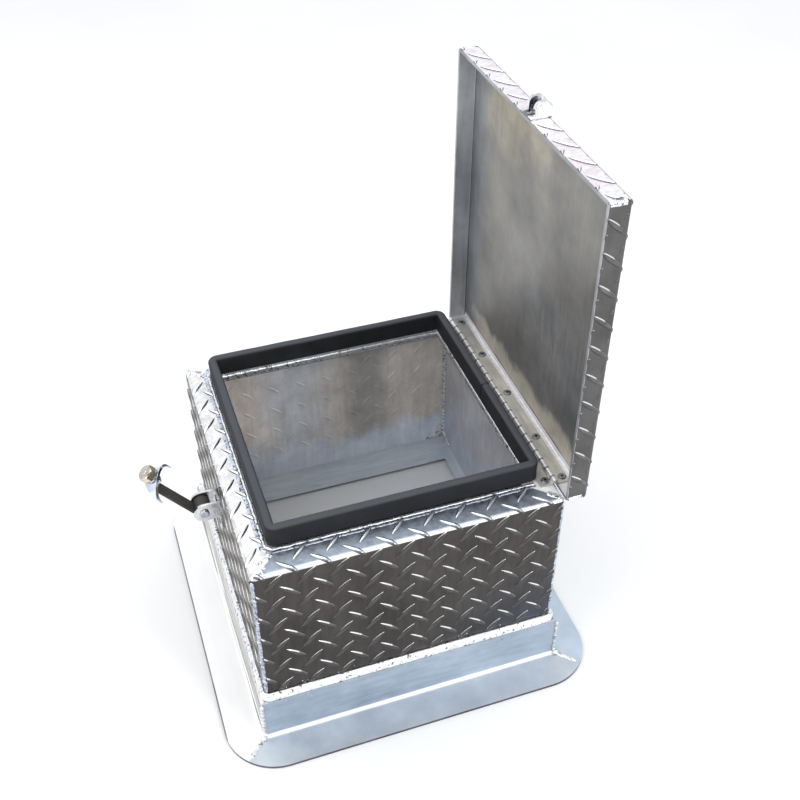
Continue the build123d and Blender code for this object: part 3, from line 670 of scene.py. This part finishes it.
def make_seal():
    """The seal, swept round the lip from one cut end to the other."""
    half = seal_section()
    outline = half + [(-a, b) for a, b in reversed(half)]
    outline += [(-SLOT_HALF - 0.2, 0.0), (-SLOT_HALF, 0.6), (-SLOT_HALF, SLOT_TOP),
                (SLOT_HALF, SLOT_TOP), (SLOT_HALF, 0.6), (SLOT_HALF + 0.2, 0.0)]
    middle_x = (seal_low.x + SEAL_HALF, seal_high.x - SEAL_HALF)
    middle_y = (seal_low.y + SEAL_HALF, seal_high.y - SEAL_HALF)
    start = SEAL_JOINT_Y + SEAL_JOINT_GAP / 2
    path = rounded_loop(middle_x, middle_y, SEAL_CORNER_R - SEAL_HALF, start, 5.0)
    side_x = middle_x[1]
    last_y = start - SEAL_JOINT_GAP
    after_start = [(Vector((side_x, start + gap, 0)), path[0][1]) for gap, _ in SEAL_ENDS[1:]]
    path = [path[0]] + after_start + path[1:]
    for gap, _ in reversed(SEAL_ENDS):
        path.append((Vector((side_x, last_y - gap, 0)), Vector((1, 0, 0))))
    end_ease = {}
    for number, (_, ease) in enumerate(SEAL_ENDS):
        end_ease[number] = ease
        end_ease[len(path) - 1 - number] = ease
    rings = []
    for number, (point, out) in enumerate(path):
        ease = end_ease.get(number, 0.0)
        sway = SEAL_WAVE * noise.noise(point * 0.035)
        lift = SEAL_WAVE * noise.noise(point * 0.028 + Vector((40, 0, 0)))
        ring = []
        for a, b in outline:
            give = min(1.0, b / SEAL_HEIGHT) if abs(a) > SLOT_HALF + 0.3 else 0.0
            across = a * (1 - ease * give / SEAL_HALF) + sway * give
            ring.append(point + out * across + UP * (seal_low.z + b + (lift - 0.12 - ease) * give))
        rings.append(ring)
    bm = bmesh.new()
    skin(bm, rings)
    piece("seal_profile", bm, "base", SEAL, stands_for=["lid_seal"])


make_seal()


# ==== welds ====================
# Seeds for the beads' lumps. The blobs inside repeat theirs at each corner.
RISER_SEED, KNEE_SEED, FLANGE_SEED, INSIDE_SEED, BLOB_SEED = 3, 13, 23, 33, 50
MITRE_SEED, SMEAR_SEED, LID_SEED, SEAM_SEED = 60, 70, 80, 90
LIP_SEED, KNOT_SEED, LIP_INNER_SEED = 99, 110, 130
RISER_BEAD_R = 2.3
KNEE_BEAD_R = 3.3
FLANGE_BEAD_R = 2.4
INSIDE_BEAD_R = 3.4
BLOB_BEAD_R = 2.2
BLOB_RUNS = 6
MITRE_BEAD_R = 3.2
MITRE_NEAR = 3.5               # where a mitre's bead starts, in from the corner along each side
MITRE_FAR = (25, 14, 8, 15)    # and where it ends, at each of CORNERS
SMEAR_BEAD_R = 1.2
SMEAR_RAYS = 7
LID_BEAD_R = 1.9
SEAM_BEAD_R = 2.2
KNOT_BEAD_R = 3.0
KNOTS = 5
DROPLETS = 150
DROPLET_SEED = 5


def make_base_bead():
    """The fillet bead round the foot of the walls, in overlapping ripples."""
    gap = RISER_OUT - SHEET
    path = rounded_loop((-HALF_X, HALF_X), (-HALF_Y, HALF_Y), CORNER_R, 0.0, 0.9)
    rings, distance, last = [], 0.0, path[0][0]
    for point, out in path:
        distance += (point - last).length
        last = point
        ripple = abs(sin(pi * distance / RIPPLE_PITCH)) ** 0.5 - 0.5
        lump = noise.noise(point * 0.06)
        toe = BEAD_TOE_Z - 0.5 + 0.9 * lump
        ring = [(0, WALL_FOOT_Z), (gap, WALL_FOOT_Z), (gap, RISER_Z - 0.2),
                (BEAD_OUT + 0.3, RISER_Z - 0.2)]
        for k in range(6):
            angle = radians(90 * k / 5)
            swell = 0.30 * ripple * sin(2 * angle) + 0.5 * lump * sin(2 * angle) + 0.5 * sin(2 * angle)
            a = (BEAD_OUT - 0.2) * cos(angle) ** 1.4 + swell
            b = RISER_Z + 0.7 + (toe - RISER_Z - 0.7) * sin(angle) ** 1.4 + swell
            ring.append((a, b))
        rings.append([point + out * a + UP * b for a, b in ring])
    bm = bmesh.new()
    skin(bm, rings, closed=True)
    piece("base_bead", bm, "base", WELD, stands_for=["base_weld"])


def make_base_corner_beads():
    """Up each riser corner, over a knee at the bend and out along the flange's mitre."""
    bm = bmesh.new()
    reach = FLANGE_OUT - FLANGE_CORNER_R * (1 - cos(radians(45))) - 3.0
    for number, (sx, sy) in enumerate(CORNERS):
        corner = Vector((sx * RISER_X, sy * RISER_Y, 0))
        diagonal = Vector((sx, sy, 0))
        bend_top = SHEET + BASE_BEND_R
        rise = [corner + UP * (RISER_Z - 1.5), corner + UP * bend_top]
        weld_run(bm, rise, RISER_BEAD_R, diagonal, RISER_SEED + number, 0.7)
        knee = [corner + UP * (bend_top + 3), corner + diagonal * 1.2 + UP * (SHEET + 2.4),
                corner + diagonal * 4.5 + UP * SHEET]
        weld_run(bm, knee, KNEE_BEAD_R, diagonal + UP, KNEE_SEED + number, 0.7)
        mitre = [corner + diagonal * 3.5 + UP * SHEET, corner + diagonal * reach + UP * SHEET]
        weld_run(bm, mitre, FLANGE_BEAD_R, UP, FLANGE_SEED + number, 0.5)
    piece("base_corner_beads", bm, "base", WELD, stands_for=["base_corner_welds"])


def make_inside_beads():
    """Down each inside corner of the box, ending in a spread blob at the foot."""
    bm = bmesh.new()
    for number, (sx, sy) in enumerate(CORNERS):
        corner = Vector((sx * (HALF_X - SHEET - 0.6), sy * (HALF_Y - SHEET - 0.6), 0))
        inward = Vector((-sx, -sy, 0))
        drop = [corner + UP * (TOP_Z - SHEET - 7), corner + UP * (WALL_FOOT_Z + 4)]
        weld_run(bm, drop, INSIDE_BEAD_R, inward, INSIDE_SEED + number, 0.8)
        along_x, along_y = Vector((-sx, 0, 0)), Vector((0, -sy, 0))
        for run in range(BLOB_RUNS):
            side, other = (along_x, along_y) if run % 2 else (along_y, along_x)
            layer = run // 2
            low = corner + UP * (WALL_FOOT_Z + 3.5 + 2.6 * layer)
            spread = [low, low + side * (22 - 6 * layer) - UP * 1.5]
            weld_run(bm, spread, BLOB_BEAD_R, other, BLOB_SEED + run, 0.6)
    piece("inside_corner_beads", bm, "base", WELD, stands_for=["wall_corner_welds"])


def make_top_mitre_beads():
    """Ground beads along the mitres of the top flange, with the smears round the near-left one."""
    bm = bmesh.new()
    for number, ((sx, sy), far) in enumerate(zip(CORNERS, MITRE_FAR)):
        corner = Vector((sx * HALF_X, sy * HALF_Y, TOP_Z))
        inward = Vector((-sx, -sy, 0))
        weld_run(bm, [corner + inward * MITRE_NEAR, corner + inward * far], MITRE_BEAD_R, UP,
                 MITRE_SEED + number, 0.22)
    hub = Vector((-HALF_X + 12, -HALF_Y + 12, TOP_Z))
    for ray in range(SMEAR_RAYS):
        angle = radians(20 + 51 * ray)
        out = Vector((cos(angle), sin(angle), 0))
        weld_run(bm, [hub + out * 1.5, hub + out * (5.5 + 2.0 * (ray % 3))], SMEAR_BEAD_R, UP,
                 SMEAR_SEED + ray, 0.4)
    piece("top_mitre_beads", bm, "base", WELD, stands_for=["top_mitre_welds"])


def make_lid_corner_beads():
    """Beads along the lid's folded corners, one for each patch of the welds, so they overlap."""
    bm = bmesh.new()
    for number, (low, high) in enumerate(islands("lid_corner_welds")):
        sy = 1 if low.y > 0 else -1
        sz = 1 if low.z > (pan_low.z + pan_high.z) / 2 else -1
        y = (high.y if sy > 0 else low.y) - sy * 1.2
        z = (high.z if sz > 0 else low.z) - sz * 1.2
        weld_run(bm, [(low.x, y, z), (high.x, y, z)], LID_BEAD_R, Vector((0, sy, sz)),
                 LID_SEED + number, 0.6)
    piece("lid_corner_beads", bm, "lid", WELD, stands_for=["lid_corner_welds"])


def make_outer_corner_beads():
    """The thin tacked seam down each outside corner of the box."""
    bm = bmesh.new()
    inset = CORNER_R * (1 - cos(radians(45)))
    for number, (sx, sy) in enumerate(CORNERS):
        corner = Vector((sx * (HALF_X - inset), sy * (HALF_Y - inset), 0))
        outward = Vector((sx, sy, 0))
        weld_run(bm, [corner + UP * (TOP_Z - 5), corner + UP * (BEAD_TOE_Z - 1)], SEAM_BEAD_R,
                 outward, SEAM_SEED + number, 0.45)
        for knot in range(KNOTS):
            high = TOP_Z - 27 - PITCH_V * knot
            weld_run(bm, [corner + UP * high, corner + UP * (high - 5)], KNOT_BEAD_R, outward,
                     KNOT_SEED + KNOTS * number + knot, 0.5)
    piece("outer_corner_seams", bm, "base", WELD_DULL)


def make_lip_bead(name, out, radius, flat, material):
    """A bead along the foot of the seal, on every side but the hinge's."""
    bm = bmesh.new()
    x0, x1 = seal_low.x - out, seal_high.x - 6.0
    y0, y1 = seal_low.y - out, seal_high.y + out
    weld_run(bm, [(x1, y0, TOP_Z), (x0 + 6, y0, TOP_Z), (x0, y0 + 6, TOP_Z), (x0, y1 - 6, TOP_Z),
                  (x0 + 6, y1, TOP_Z), (x1, y1, TOP_Z)], radius, UP, LIP_SEED + out, flat)
    piece(name, bm, "base", material)


def make_lip_inner_bead():
    """The ragged bead on the underside, between the lip's foot and the top flange."""
    bm = bmesh.new()
    inset = (SEAL_W + COAMING_T) / 2 + 0.6
    x0, x1 = seal_low.x + inset, seal_high.x - inset
    y0, y1 = seal_low.y + inset, seal_high.y - inset
    foot = mm_box("coaming")[0].z - 0.6
    sides = (((x0, y1), (x1, y1), (0, -1)), ((x1, y0), (x1, y1), (-1, 0)),
             ((x0, y0), (x1, y0), (0, 1)), ((x0, y0), (x0, y1), (1, 0)))
    for number, (a, b, out) in enumerate(sides):
        for pull, radius in ((0.0, 3.4), (1.2, 2.6)):
            drop = UP * (foot - 2.2 * pull)
            weld_run(bm, [Vector((*a, 0)) + drop, Vector((*b, 0)) + drop], radius, Vector((*out, 0)),
                     LIP_INNER_SEED + 2 * number + pull, 0.45)
    piece("lip_inner_bead", bm, "base", WELD)


def make_spatter():
    """Droplets of weld metal thrown on to the wall and riser beside the base bead."""
    rng = random.Random(DROPLET_SEED)
    bm = bmesh.new()
    for _ in range(DROPLETS):
        u = rng.uniform(-0.94, 0.94)
        high = rng.random() < 0.6
        z = BEAD_TOE_Z + rng.uniform(0.5, 5.0) if high else RISER_Z - rng.uniform(0.5, 9.0)
        out = 0.0 if high else RISER_OUT
        side = rng.randrange(4)
        if side % 2 == 0:
            point = Vector((u * HALF_X, (HALF_Y + out) * (1 if side else -1), z))
        else:
            point = Vector(((HALF_X + out) * (1 if side == 1 else -1), u * HALF_Y, z))
        radius = rng.uniform(0.35, 0.95)
        made = bmesh.ops.create_icosphere(bm, subdivisions=1, radius=radius)
        for vert in made["verts"]:
            vert.co += point
    piece("weld_spatter", bm, "base", WELD_DULL)


make_base_bead()
make_base_corner_beads()
make_inside_beads()
make_top_mitre_beads()
make_lid_corner_beads()
make_outer_corner_beads()
make_lip_bead("lip_bead", 1.6, 1.7, 0.5, WELD)
make_lip_bead("lip_bead_smear", 4.6, 2.4, 0.16, WELD_DULL)
make_lip_inner_bead()
make_spatter()


# ==== tread lugs ====================
LUG_STEPS = 14
LUG_ACROSS = 8
FALLING = radians(-42)         # the two directions of lug, as angles on the sheet
RISING = radians(45)


def lug_points():
    """One lug along u: rows of (u, v, height) from tip to tip, sunk a little into the sheet."""
    rows = []
    for i in range(LUG_STEPS + 1):
        s = -1 + 2 * i / LUG_STEPS
        half = LUG_WIDTH / 2 * (1 - abs(s) ** 2.0) ** 0.75 + 0.12
        crest = LUG_HEIGHT * (1 - abs(s) ** 2.4) ** 0.75
        row = []
        for k in range(LUG_ACROSS + 1):
            t = -1 + 2 * k / LUG_ACROSS
            height = -LUG_SINK + (crest + LUG_SINK) * (1 - abs(t) ** 2.1)
            row.append((s * LUG_LENGTH / 2, t * half, height))
        rows.append(row)
    return rows


LUG_ROWS = lug_points()


def painted_highlight_share(along, falling):
    """How bright a lug's lit edge is at a place along it, from -1 to 1 of its half length."""
    if falling:
        return 1.0 if -0.80 < along < 0.02 else 0.16
    if -0.12 < along < 0.12:
        return 1.0
    return 0.22 if along > 0 else 0.08


def add_lug(bm, painted_highlight, place, u, v, angle, scale, size):
    """Sets one lug at (u, v) of a sheet, where place maps (u, v, height) to a point.
    scale is a share of the full height and size a share of the full length and width."""
    c, s = size * cos(angle), size * sin(angle)
    grid = []
    for row in LUG_ROWS:
        line = []
        for a, b, h in row:
            vert = bm.verts.new(place(u + a * c - b * s, v + a * s + b * c, h * scale))
            vert[painted_highlight] = painted_highlight_share(2 * a / LUG_LENGTH, angle < 0)
            line.append(vert)
        grid.append(line)
    for i in range(LUG_STEPS):
        for k in range(LUG_ACROSS):
            bm.faces.new((grid[i][k], grid[i + 1][k], grid[i + 1][k + 1], grid[i][k + 1]))
        bm.faces.new((grid[i][0], grid[i][LUG_ACROSS], grid[i + 1][LUG_ACROSS], grid[i + 1][0]))
    for line in (grid[0], grid[-1]):
        bm.faces.new(line if line is grid[-1] else list(reversed(line)))


def lug_sheet(place, u_range, v_range, u_phase, v_phase, scale=1.0, size=1.0):
    """Both directions of lug over a sheet, each on its own lattice half a pitch from the other."""
    bm = bmesh.new()
    painted_highlight = bm.verts.layers.float.new("painted_highlight")
    reach = LUG_LENGTH / 2
    for shift, angle in ((0.0, FALLING), (0.5, RISING)):
        u = u_phase + (ceil((u_range[0] - reach - u_phase) / PITCH_U - shift) + shift) * PITCH_U
        first_v = v_phase + (ceil((v_range[0] - reach - v_phase) / PITCH_V - shift) + shift) * PITCH_V
        while u < u_range[1] + reach:
            v = first_v
            while v < v_range[1] + reach:
                add_lug(bm, painted_highlight, place, u, v, angle, scale, size)
                v += PITCH_V
            u += PITCH_U
    return bm


def cut(bm, point, normal):
    """Keeps what lies behind the plane and closes the cut."""
    everything = bm.verts[:] + bm.edges[:] + bm.faces[:]
    bmesh.ops.bisect_plane(bm, geom=everything, plane_co=point, plane_no=normal, clear_outer=True)
    open_edges = [edge for edge in bm.edges if edge.is_boundary]
    if open_edges:
        bmesh.ops.holes_fill(bm, edges=open_edges, sides=0)


def bent_sheet(side):
    """Maps (u, v, height) to a wall that bends inward at the top: v is the height up the
    unrolled sheet, and side turns (u, depth, z) into a point of that wall."""
    flat_v = TOP_Z - TOP_BEND_R
    arc = TOP_BEND_R * pi / 2

    def place(u, v, h):
        if v <= flat_v:
            depth, z = -h, v
        elif v <= flat_v + arc:
            turn = (v - flat_v) / TOP_BEND_R
            depth = TOP_BEND_R - (TOP_BEND_R + h) * cos(turn)
            z = flat_v + (TOP_BEND_R + h) * sin(turn)
        else:
            depth, z = TOP_BEND_R + v - flat_v - arc, TOP_Z + h
        return side(u, depth, z)

    return place


def front_side(u, depth, z):
    return Vector((u, -HALF_Y + depth, z))


def back_side(u, depth, z):
    return Vector((-u, HALF_Y - depth, z))


def left_side(u, depth, z):
    return Vector((-HALF_X + depth, -u, z))


def right_side(u, depth, z):
    return Vector((HALF_X - depth, u, z))


CORNER_MARGIN = 2.8
MITRE_MARGIN = 1.2


def wall_lugs(name, side, half, flange, u_phase, v_phase, material):
    """Lugs on a wall's outside and round on to its top flange, cut at the seal and mitres."""
    bm = lug_sheet(bent_sheet(side), (-half, half), (BEAD_TOE_Z, TOP_Z + flange), u_phase, v_phase)
    cut(bm, (0, 0, BEAD_TOE_Z + 0.5), (0, 0, -1))
    inward = side(0, 1, 0) - side(0, 0, 0)
    cut(bm, side(0, flange, TOP_Z), inward)
    for sign in (-1, 1):
        along = side(sign, 0, 0) - side(0, 0, 0)
        corner = side(sign * half, 0, 0)
        cut(bm, corner - along * CORNER_MARGIN, along)
        cut(bm, corner - along * MITRE_MARGIN, along + inward)
    piece(name, bm, "base", material)


ROW = TOP_Z - 27.0             # height of one row of falling lugs on the front, the rest follow
LIP_MARGIN = 3.6               # lugs stop short of the lip's bead
HINGE_MARGIN = 3.0
front_flange = seal_low.y + HALF_Y - LIP_MARGIN
left_flange = seal_low.x + HALF_X - LIP_MARGIN
back_flange = HALF_Y - seal_high.y - LIP_MARGIN
wall_lugs("lugs_front", front_side, HALF_X, front_flange, -HALF_X + 35.2, ROW, LUG_FRONT)
wall_lugs("lugs_left", left_side, HALF_Y, left_flange, 5.0, ROW, LUG_LEFT)
wall_lugs("lugs_back", back_side, HALF_X, back_flange, 8.0, ROW + 9, LUG_PLAIN)
wall_lugs("lugs_right", right_side, HALF_Y, HINGE_MARGIN, 12.0, ROW + 4, LUG_PLAIN)

EMBOSS = 0.34                  # height of the marks inside, as a share of a lug's
EMBOSS_SIZE = 0.68             # and their length and width


def between(axis, low, high):
    """Two cutting planes that keep what lies between two values along an axis."""
    unit = Vector([1.0 if i == axis else 0.0 for i in range(3)])
    return [(unit * low, -unit), (unit * high, unit)]


def inside_back(u, v, h):
    return Vector((u, HALF_Y - SHEET - h, v))


inner_lugs = lug_sheet(inside_back, (-HALF_X + 12, HALF_X - 14), (75, TOP_Z - 14), 4.0, ROW + 6,
                       EMBOSS, EMBOSS_SIZE)
for edge_point, edge_normal in between(0, -HALF_X + 9, HALF_X - 9) + between(2, 58, TOP_Z - 7):
    cut(inner_lugs, edge_point, edge_normal)
piece("lugs_inside_back", inner_lugs, "base", WALL_BACK)


# ---- lid lugs --------------------
def lid_panel(u, v, h):
    return Vector((pan_high.x + h, u, v))


def lid_near(u, v, h):
    return Vector((u, pan_low.y - h, v))


def lid_far(u, v, h):
    return Vector((u, pan_high.y + h, v))


def lid_free(u, v, h):
    return Vector((v, u, pan_high.z + h))


def lid_lugs(name, place, u_range, v_range, u_phase, v_phase, limits, material):
    """Lugs on one face of the lid, cut at the limits."""
    bm = lug_sheet(place, u_range, v_range, u_phase, v_phase)
    for point, normal in limits:
        cut(bm, point, normal)
    piece(name, bm, "lid", material)


EDGE = 4.0                     # lugs stop this far short of the lid's folds
LID_Y = (pan_low.y, pan_high.y)
LID_Z = (pan_low.z, pan_high.z)
LID_X = (pan_low.x, pan_high.x)
across_rim = between(0, LID_X[0] + 0.3, LID_X[1] - EDGE)
up_end = between(2, LID_Z[0] + 3, LID_Z[1] - 3)
panel_limits = (between(1, LID_Y[0] + EDGE, LID_Y[1] - EDGE)
                + between(2, LID_Z[0] + EDGE, LID_Z[1] - EDGE))
lid_lugs("lugs_lid_panel", lid_panel, LID_Y, LID_Z, 0.0, LID_Z[0] + 15, panel_limits, LUG_PLAIN)
lid_lugs("lugs_lid_near", lid_near, LID_X, LID_Z, LID_X[0] + 9, LID_Z[1] - 22,
         across_rim + up_end, LUG_LID_END)
lid_lugs("lugs_lid_far", lid_far, LID_X, LID_Z, LID_X[0] + 9, LID_Z[1] - 15,
         across_rim + up_end, LUG_PLAIN)
lid_lugs("lugs_lid_free_edge", lid_free, LID_Y, LID_X, 3.0, LID_X[0] + 11,
         across_rim + between(1, LID_Y[0] + 3, LID_Y[1] - 3), LUG_LID_TOP)


# ==== hinge and latch details ====================
MANDREL_PROFILE = ((1.22, -0.86), (1.22, -0.30), (0.8, -0.12))  # radius, height from the rivet's top
MANDREL_SIDES = 12


def make_mandrels():
    """The broken-off mandrels left in the blind rivets of the hinge and the keeper; their near-black
    colour also stands in for the shade in the rivets' hollows. There is one for each patch of a rivet's
    surface, so they overlap."""
    rivets = {"hinge_rivets_box": "base", "hinge_rivets_lid": "lid", "keeper_rivet": "lid"}
    turns = [2 * pi * k / MANDREL_SIDES for k in range(MANDREL_SIDES)]
    for node, body in rivets.items():
        bm = bmesh.new()
        for low, high in islands(node):
            centre = (low + high) / 2
            rings = []
            for radius, drop in MANDREL_PROFILE:
                rings.append([Vector((centre.x + radius * cos(a), centre.y + radius * sin(a),
                                      high.z + drop)) for a in turns])
            skin(bm, rings)
        piece(node.replace("rivet", "mandrel"), bm, body, MANDREL)


STRAP_EDGE = 1.0
TAIL_RINGS = 15
EYE_RINGS = 40
EYE_TURN = radians(342)        # how far the eye wraps round the pin
SWELL_TURN = radians(70)       # and over how much of that it thickens


def strap_section(thickness, half_width):
    """A band's section with rounded edges, (outward, across)."""
    points = []
    for cx, cy, turn in ((1, 1, 0), (-1, 1, 90), (-1, -1, 180), (1, -1, 270)):
        for k in range(5):
            angle = radians(turn + 90 * k / 4)
            points.append((cx * (thickness / 2 - STRAP_EDGE) + STRAP_EDGE * cos(angle),
                           cy * (half_width - STRAP_EDGE) + STRAP_EDGE * sin(angle)))
    return points


def make_strap():
    """The rubber strap: a flat tail that swells into an eye wrapped round the pivot pin."""
    half = (strap_high.y - strap_low.y) / 2
    tail_offset = STRAP_EYE_R - STRAP_T / 2
    eye_t = STRAP_EYE_R - STRAP_BORE_R
    eye_offset = STRAP_BORE_R + eye_t / 2
    side = Vector((0, 1, 0))
    rings = []

    def ring(centre, out, thickness):
        rings.append([centre + out * a + side * b for a, b in strap_section(thickness, half)])

    for k in range(TAIL_RINGS):
        along = STRAP_LENGTH * (1 - k / TAIL_RINGS)
        tip = 0.55 if k == 0 else 0.0
        ring(PIVOT + STRAP_ALONG * along + STRAP_OUTER * tail_offset, STRAP_OUTER, STRAP_T - tip)
    for k in range(EYE_RINGS + 1):
        angle = EYE_TURN * k / EYE_RINGS
        out = STRAP_OUTER * cos(angle) - STRAP_ALONG * sin(angle)
        swell = min(1.0, angle / SWELL_TURN)
        swell = swell * swell * (3 - 2 * swell)
        offset = tail_offset + (eye_offset - tail_offset) * swell
        ring(PIVOT + out * offset, out, STRAP_T + (eye_t - STRAP_T) * swell)
    bm = bmesh.new()
    skin(bm, rings)
    piece("strap_band", bm, "strap", STRAP, stands_for=["latch_strap"])


make_mandrels()
make_strap()


# ==== floor, light and camera ====================
# On the stage lengths are in metres, except for the camera's place, lens and sensor.
FLOOR_HALF = 6.0
FLOOR_DROP = 0.0002
SKY = (0.95, 0.97, 1.0, 1)
SKY_STRENGTH = 0.95
CAMERA_PLACE = Vector((-228.1, -777.7, 964.7)) * MM
CAMERA_AZIMUTH = radians(-19.022)
CAMERA_ELEVATION = radians(40.449)
CAMERA_LENS = 48.445
SENSOR_WIDTH = 36.0


def make_floor():
    bm = bmesh.new()
    bmesh.ops.create_grid(bm, x_segments=1, y_segments=1, size=FLOOR_HALF)
    data = bpy.data.meshes.new("floor")
    bm.to_mesh(data)
    bm.free()
    floor = bpy.data.objects.new("floor", data)
    floor.location.z = -FLOOR_DROP
    bpy.context.scene.collection.objects.link(floor)
    material, tree, shader = new_material("floor_paper", 0.0)
    shader.inputs["Roughness"].default_value = 0.9
    soft = noise_value(tree, coordinates(tree), 3.0, 2.0, 0.5)
    colour = ramp(tree, soft, [(0.3, grey(0.88)), (0.7, grey(0.92))])
    tree.links.new(colour, shader.inputs["Base Color"])
    data.materials.append(material)


def area_light(name, place, target, size, power):
    light = bpy.data.lights.new(name, "AREA")
    light.shape = "RECTANGLE"
    light.size, light.size_y = size
    light.energy = power
    obj = bpy.data.objects.new(name, light)
    obj.location = place
    aim = Vector(target) - Vector(place)
    obj.rotation_mode = "QUATERNION"
    obj.rotation_quaternion = aim.to_track_quat("-Z", "Y")
    bpy.context.scene.collection.objects.link(obj)


def make_world():
    world = bpy.data.worlds.new("studio")
    bpy.context.scene.world = world
    world.use_nodes = True
    background = world.node_tree.nodes["Background"]
    background.inputs["Color"].default_value = SKY
    background.inputs["Strength"].default_value = SKY_STRENGTH


def make_camera():
    level = cos(CAMERA_ELEVATION)
    back = Vector((sin(CAMERA_AZIMUTH) * level, -cos(CAMERA_AZIMUTH) * level, sin(CAMERA_ELEVATION)))
    data = bpy.data.cameras.new("camera")
    data.sensor_width = SENSOR_WIDTH
    data.lens = CAMERA_LENS
    camera = bpy.data.objects.new("camera", data)
    camera.location = CAMERA_PLACE
    camera.rotation_mode = "QUATERNION"
    camera.rotation_quaternion = (-back).to_track_quat("-Z", "Y")
    bpy.context.scene.collection.objects.link(camera)
    bpy.context.scene.camera = camera


make_floor()
make_world()
area_light("overhead", (-0.3, 0.2, 2.0), (0, 0, 0.2), (2.0, 2.0), 14)
area_light("left_soft", (-1.8, -0.8, 1.2), (0, 0, 0.2), (1.2, 1.2), 8)
area_light("key", (1.3, -2.3, 1.55), (0, 0, 0.2), (0.5, 0.5), 26)
make_camera()
bpy.context.scene.view_settings.view_transform = "Standard"

bpy.context.view_layer.update()
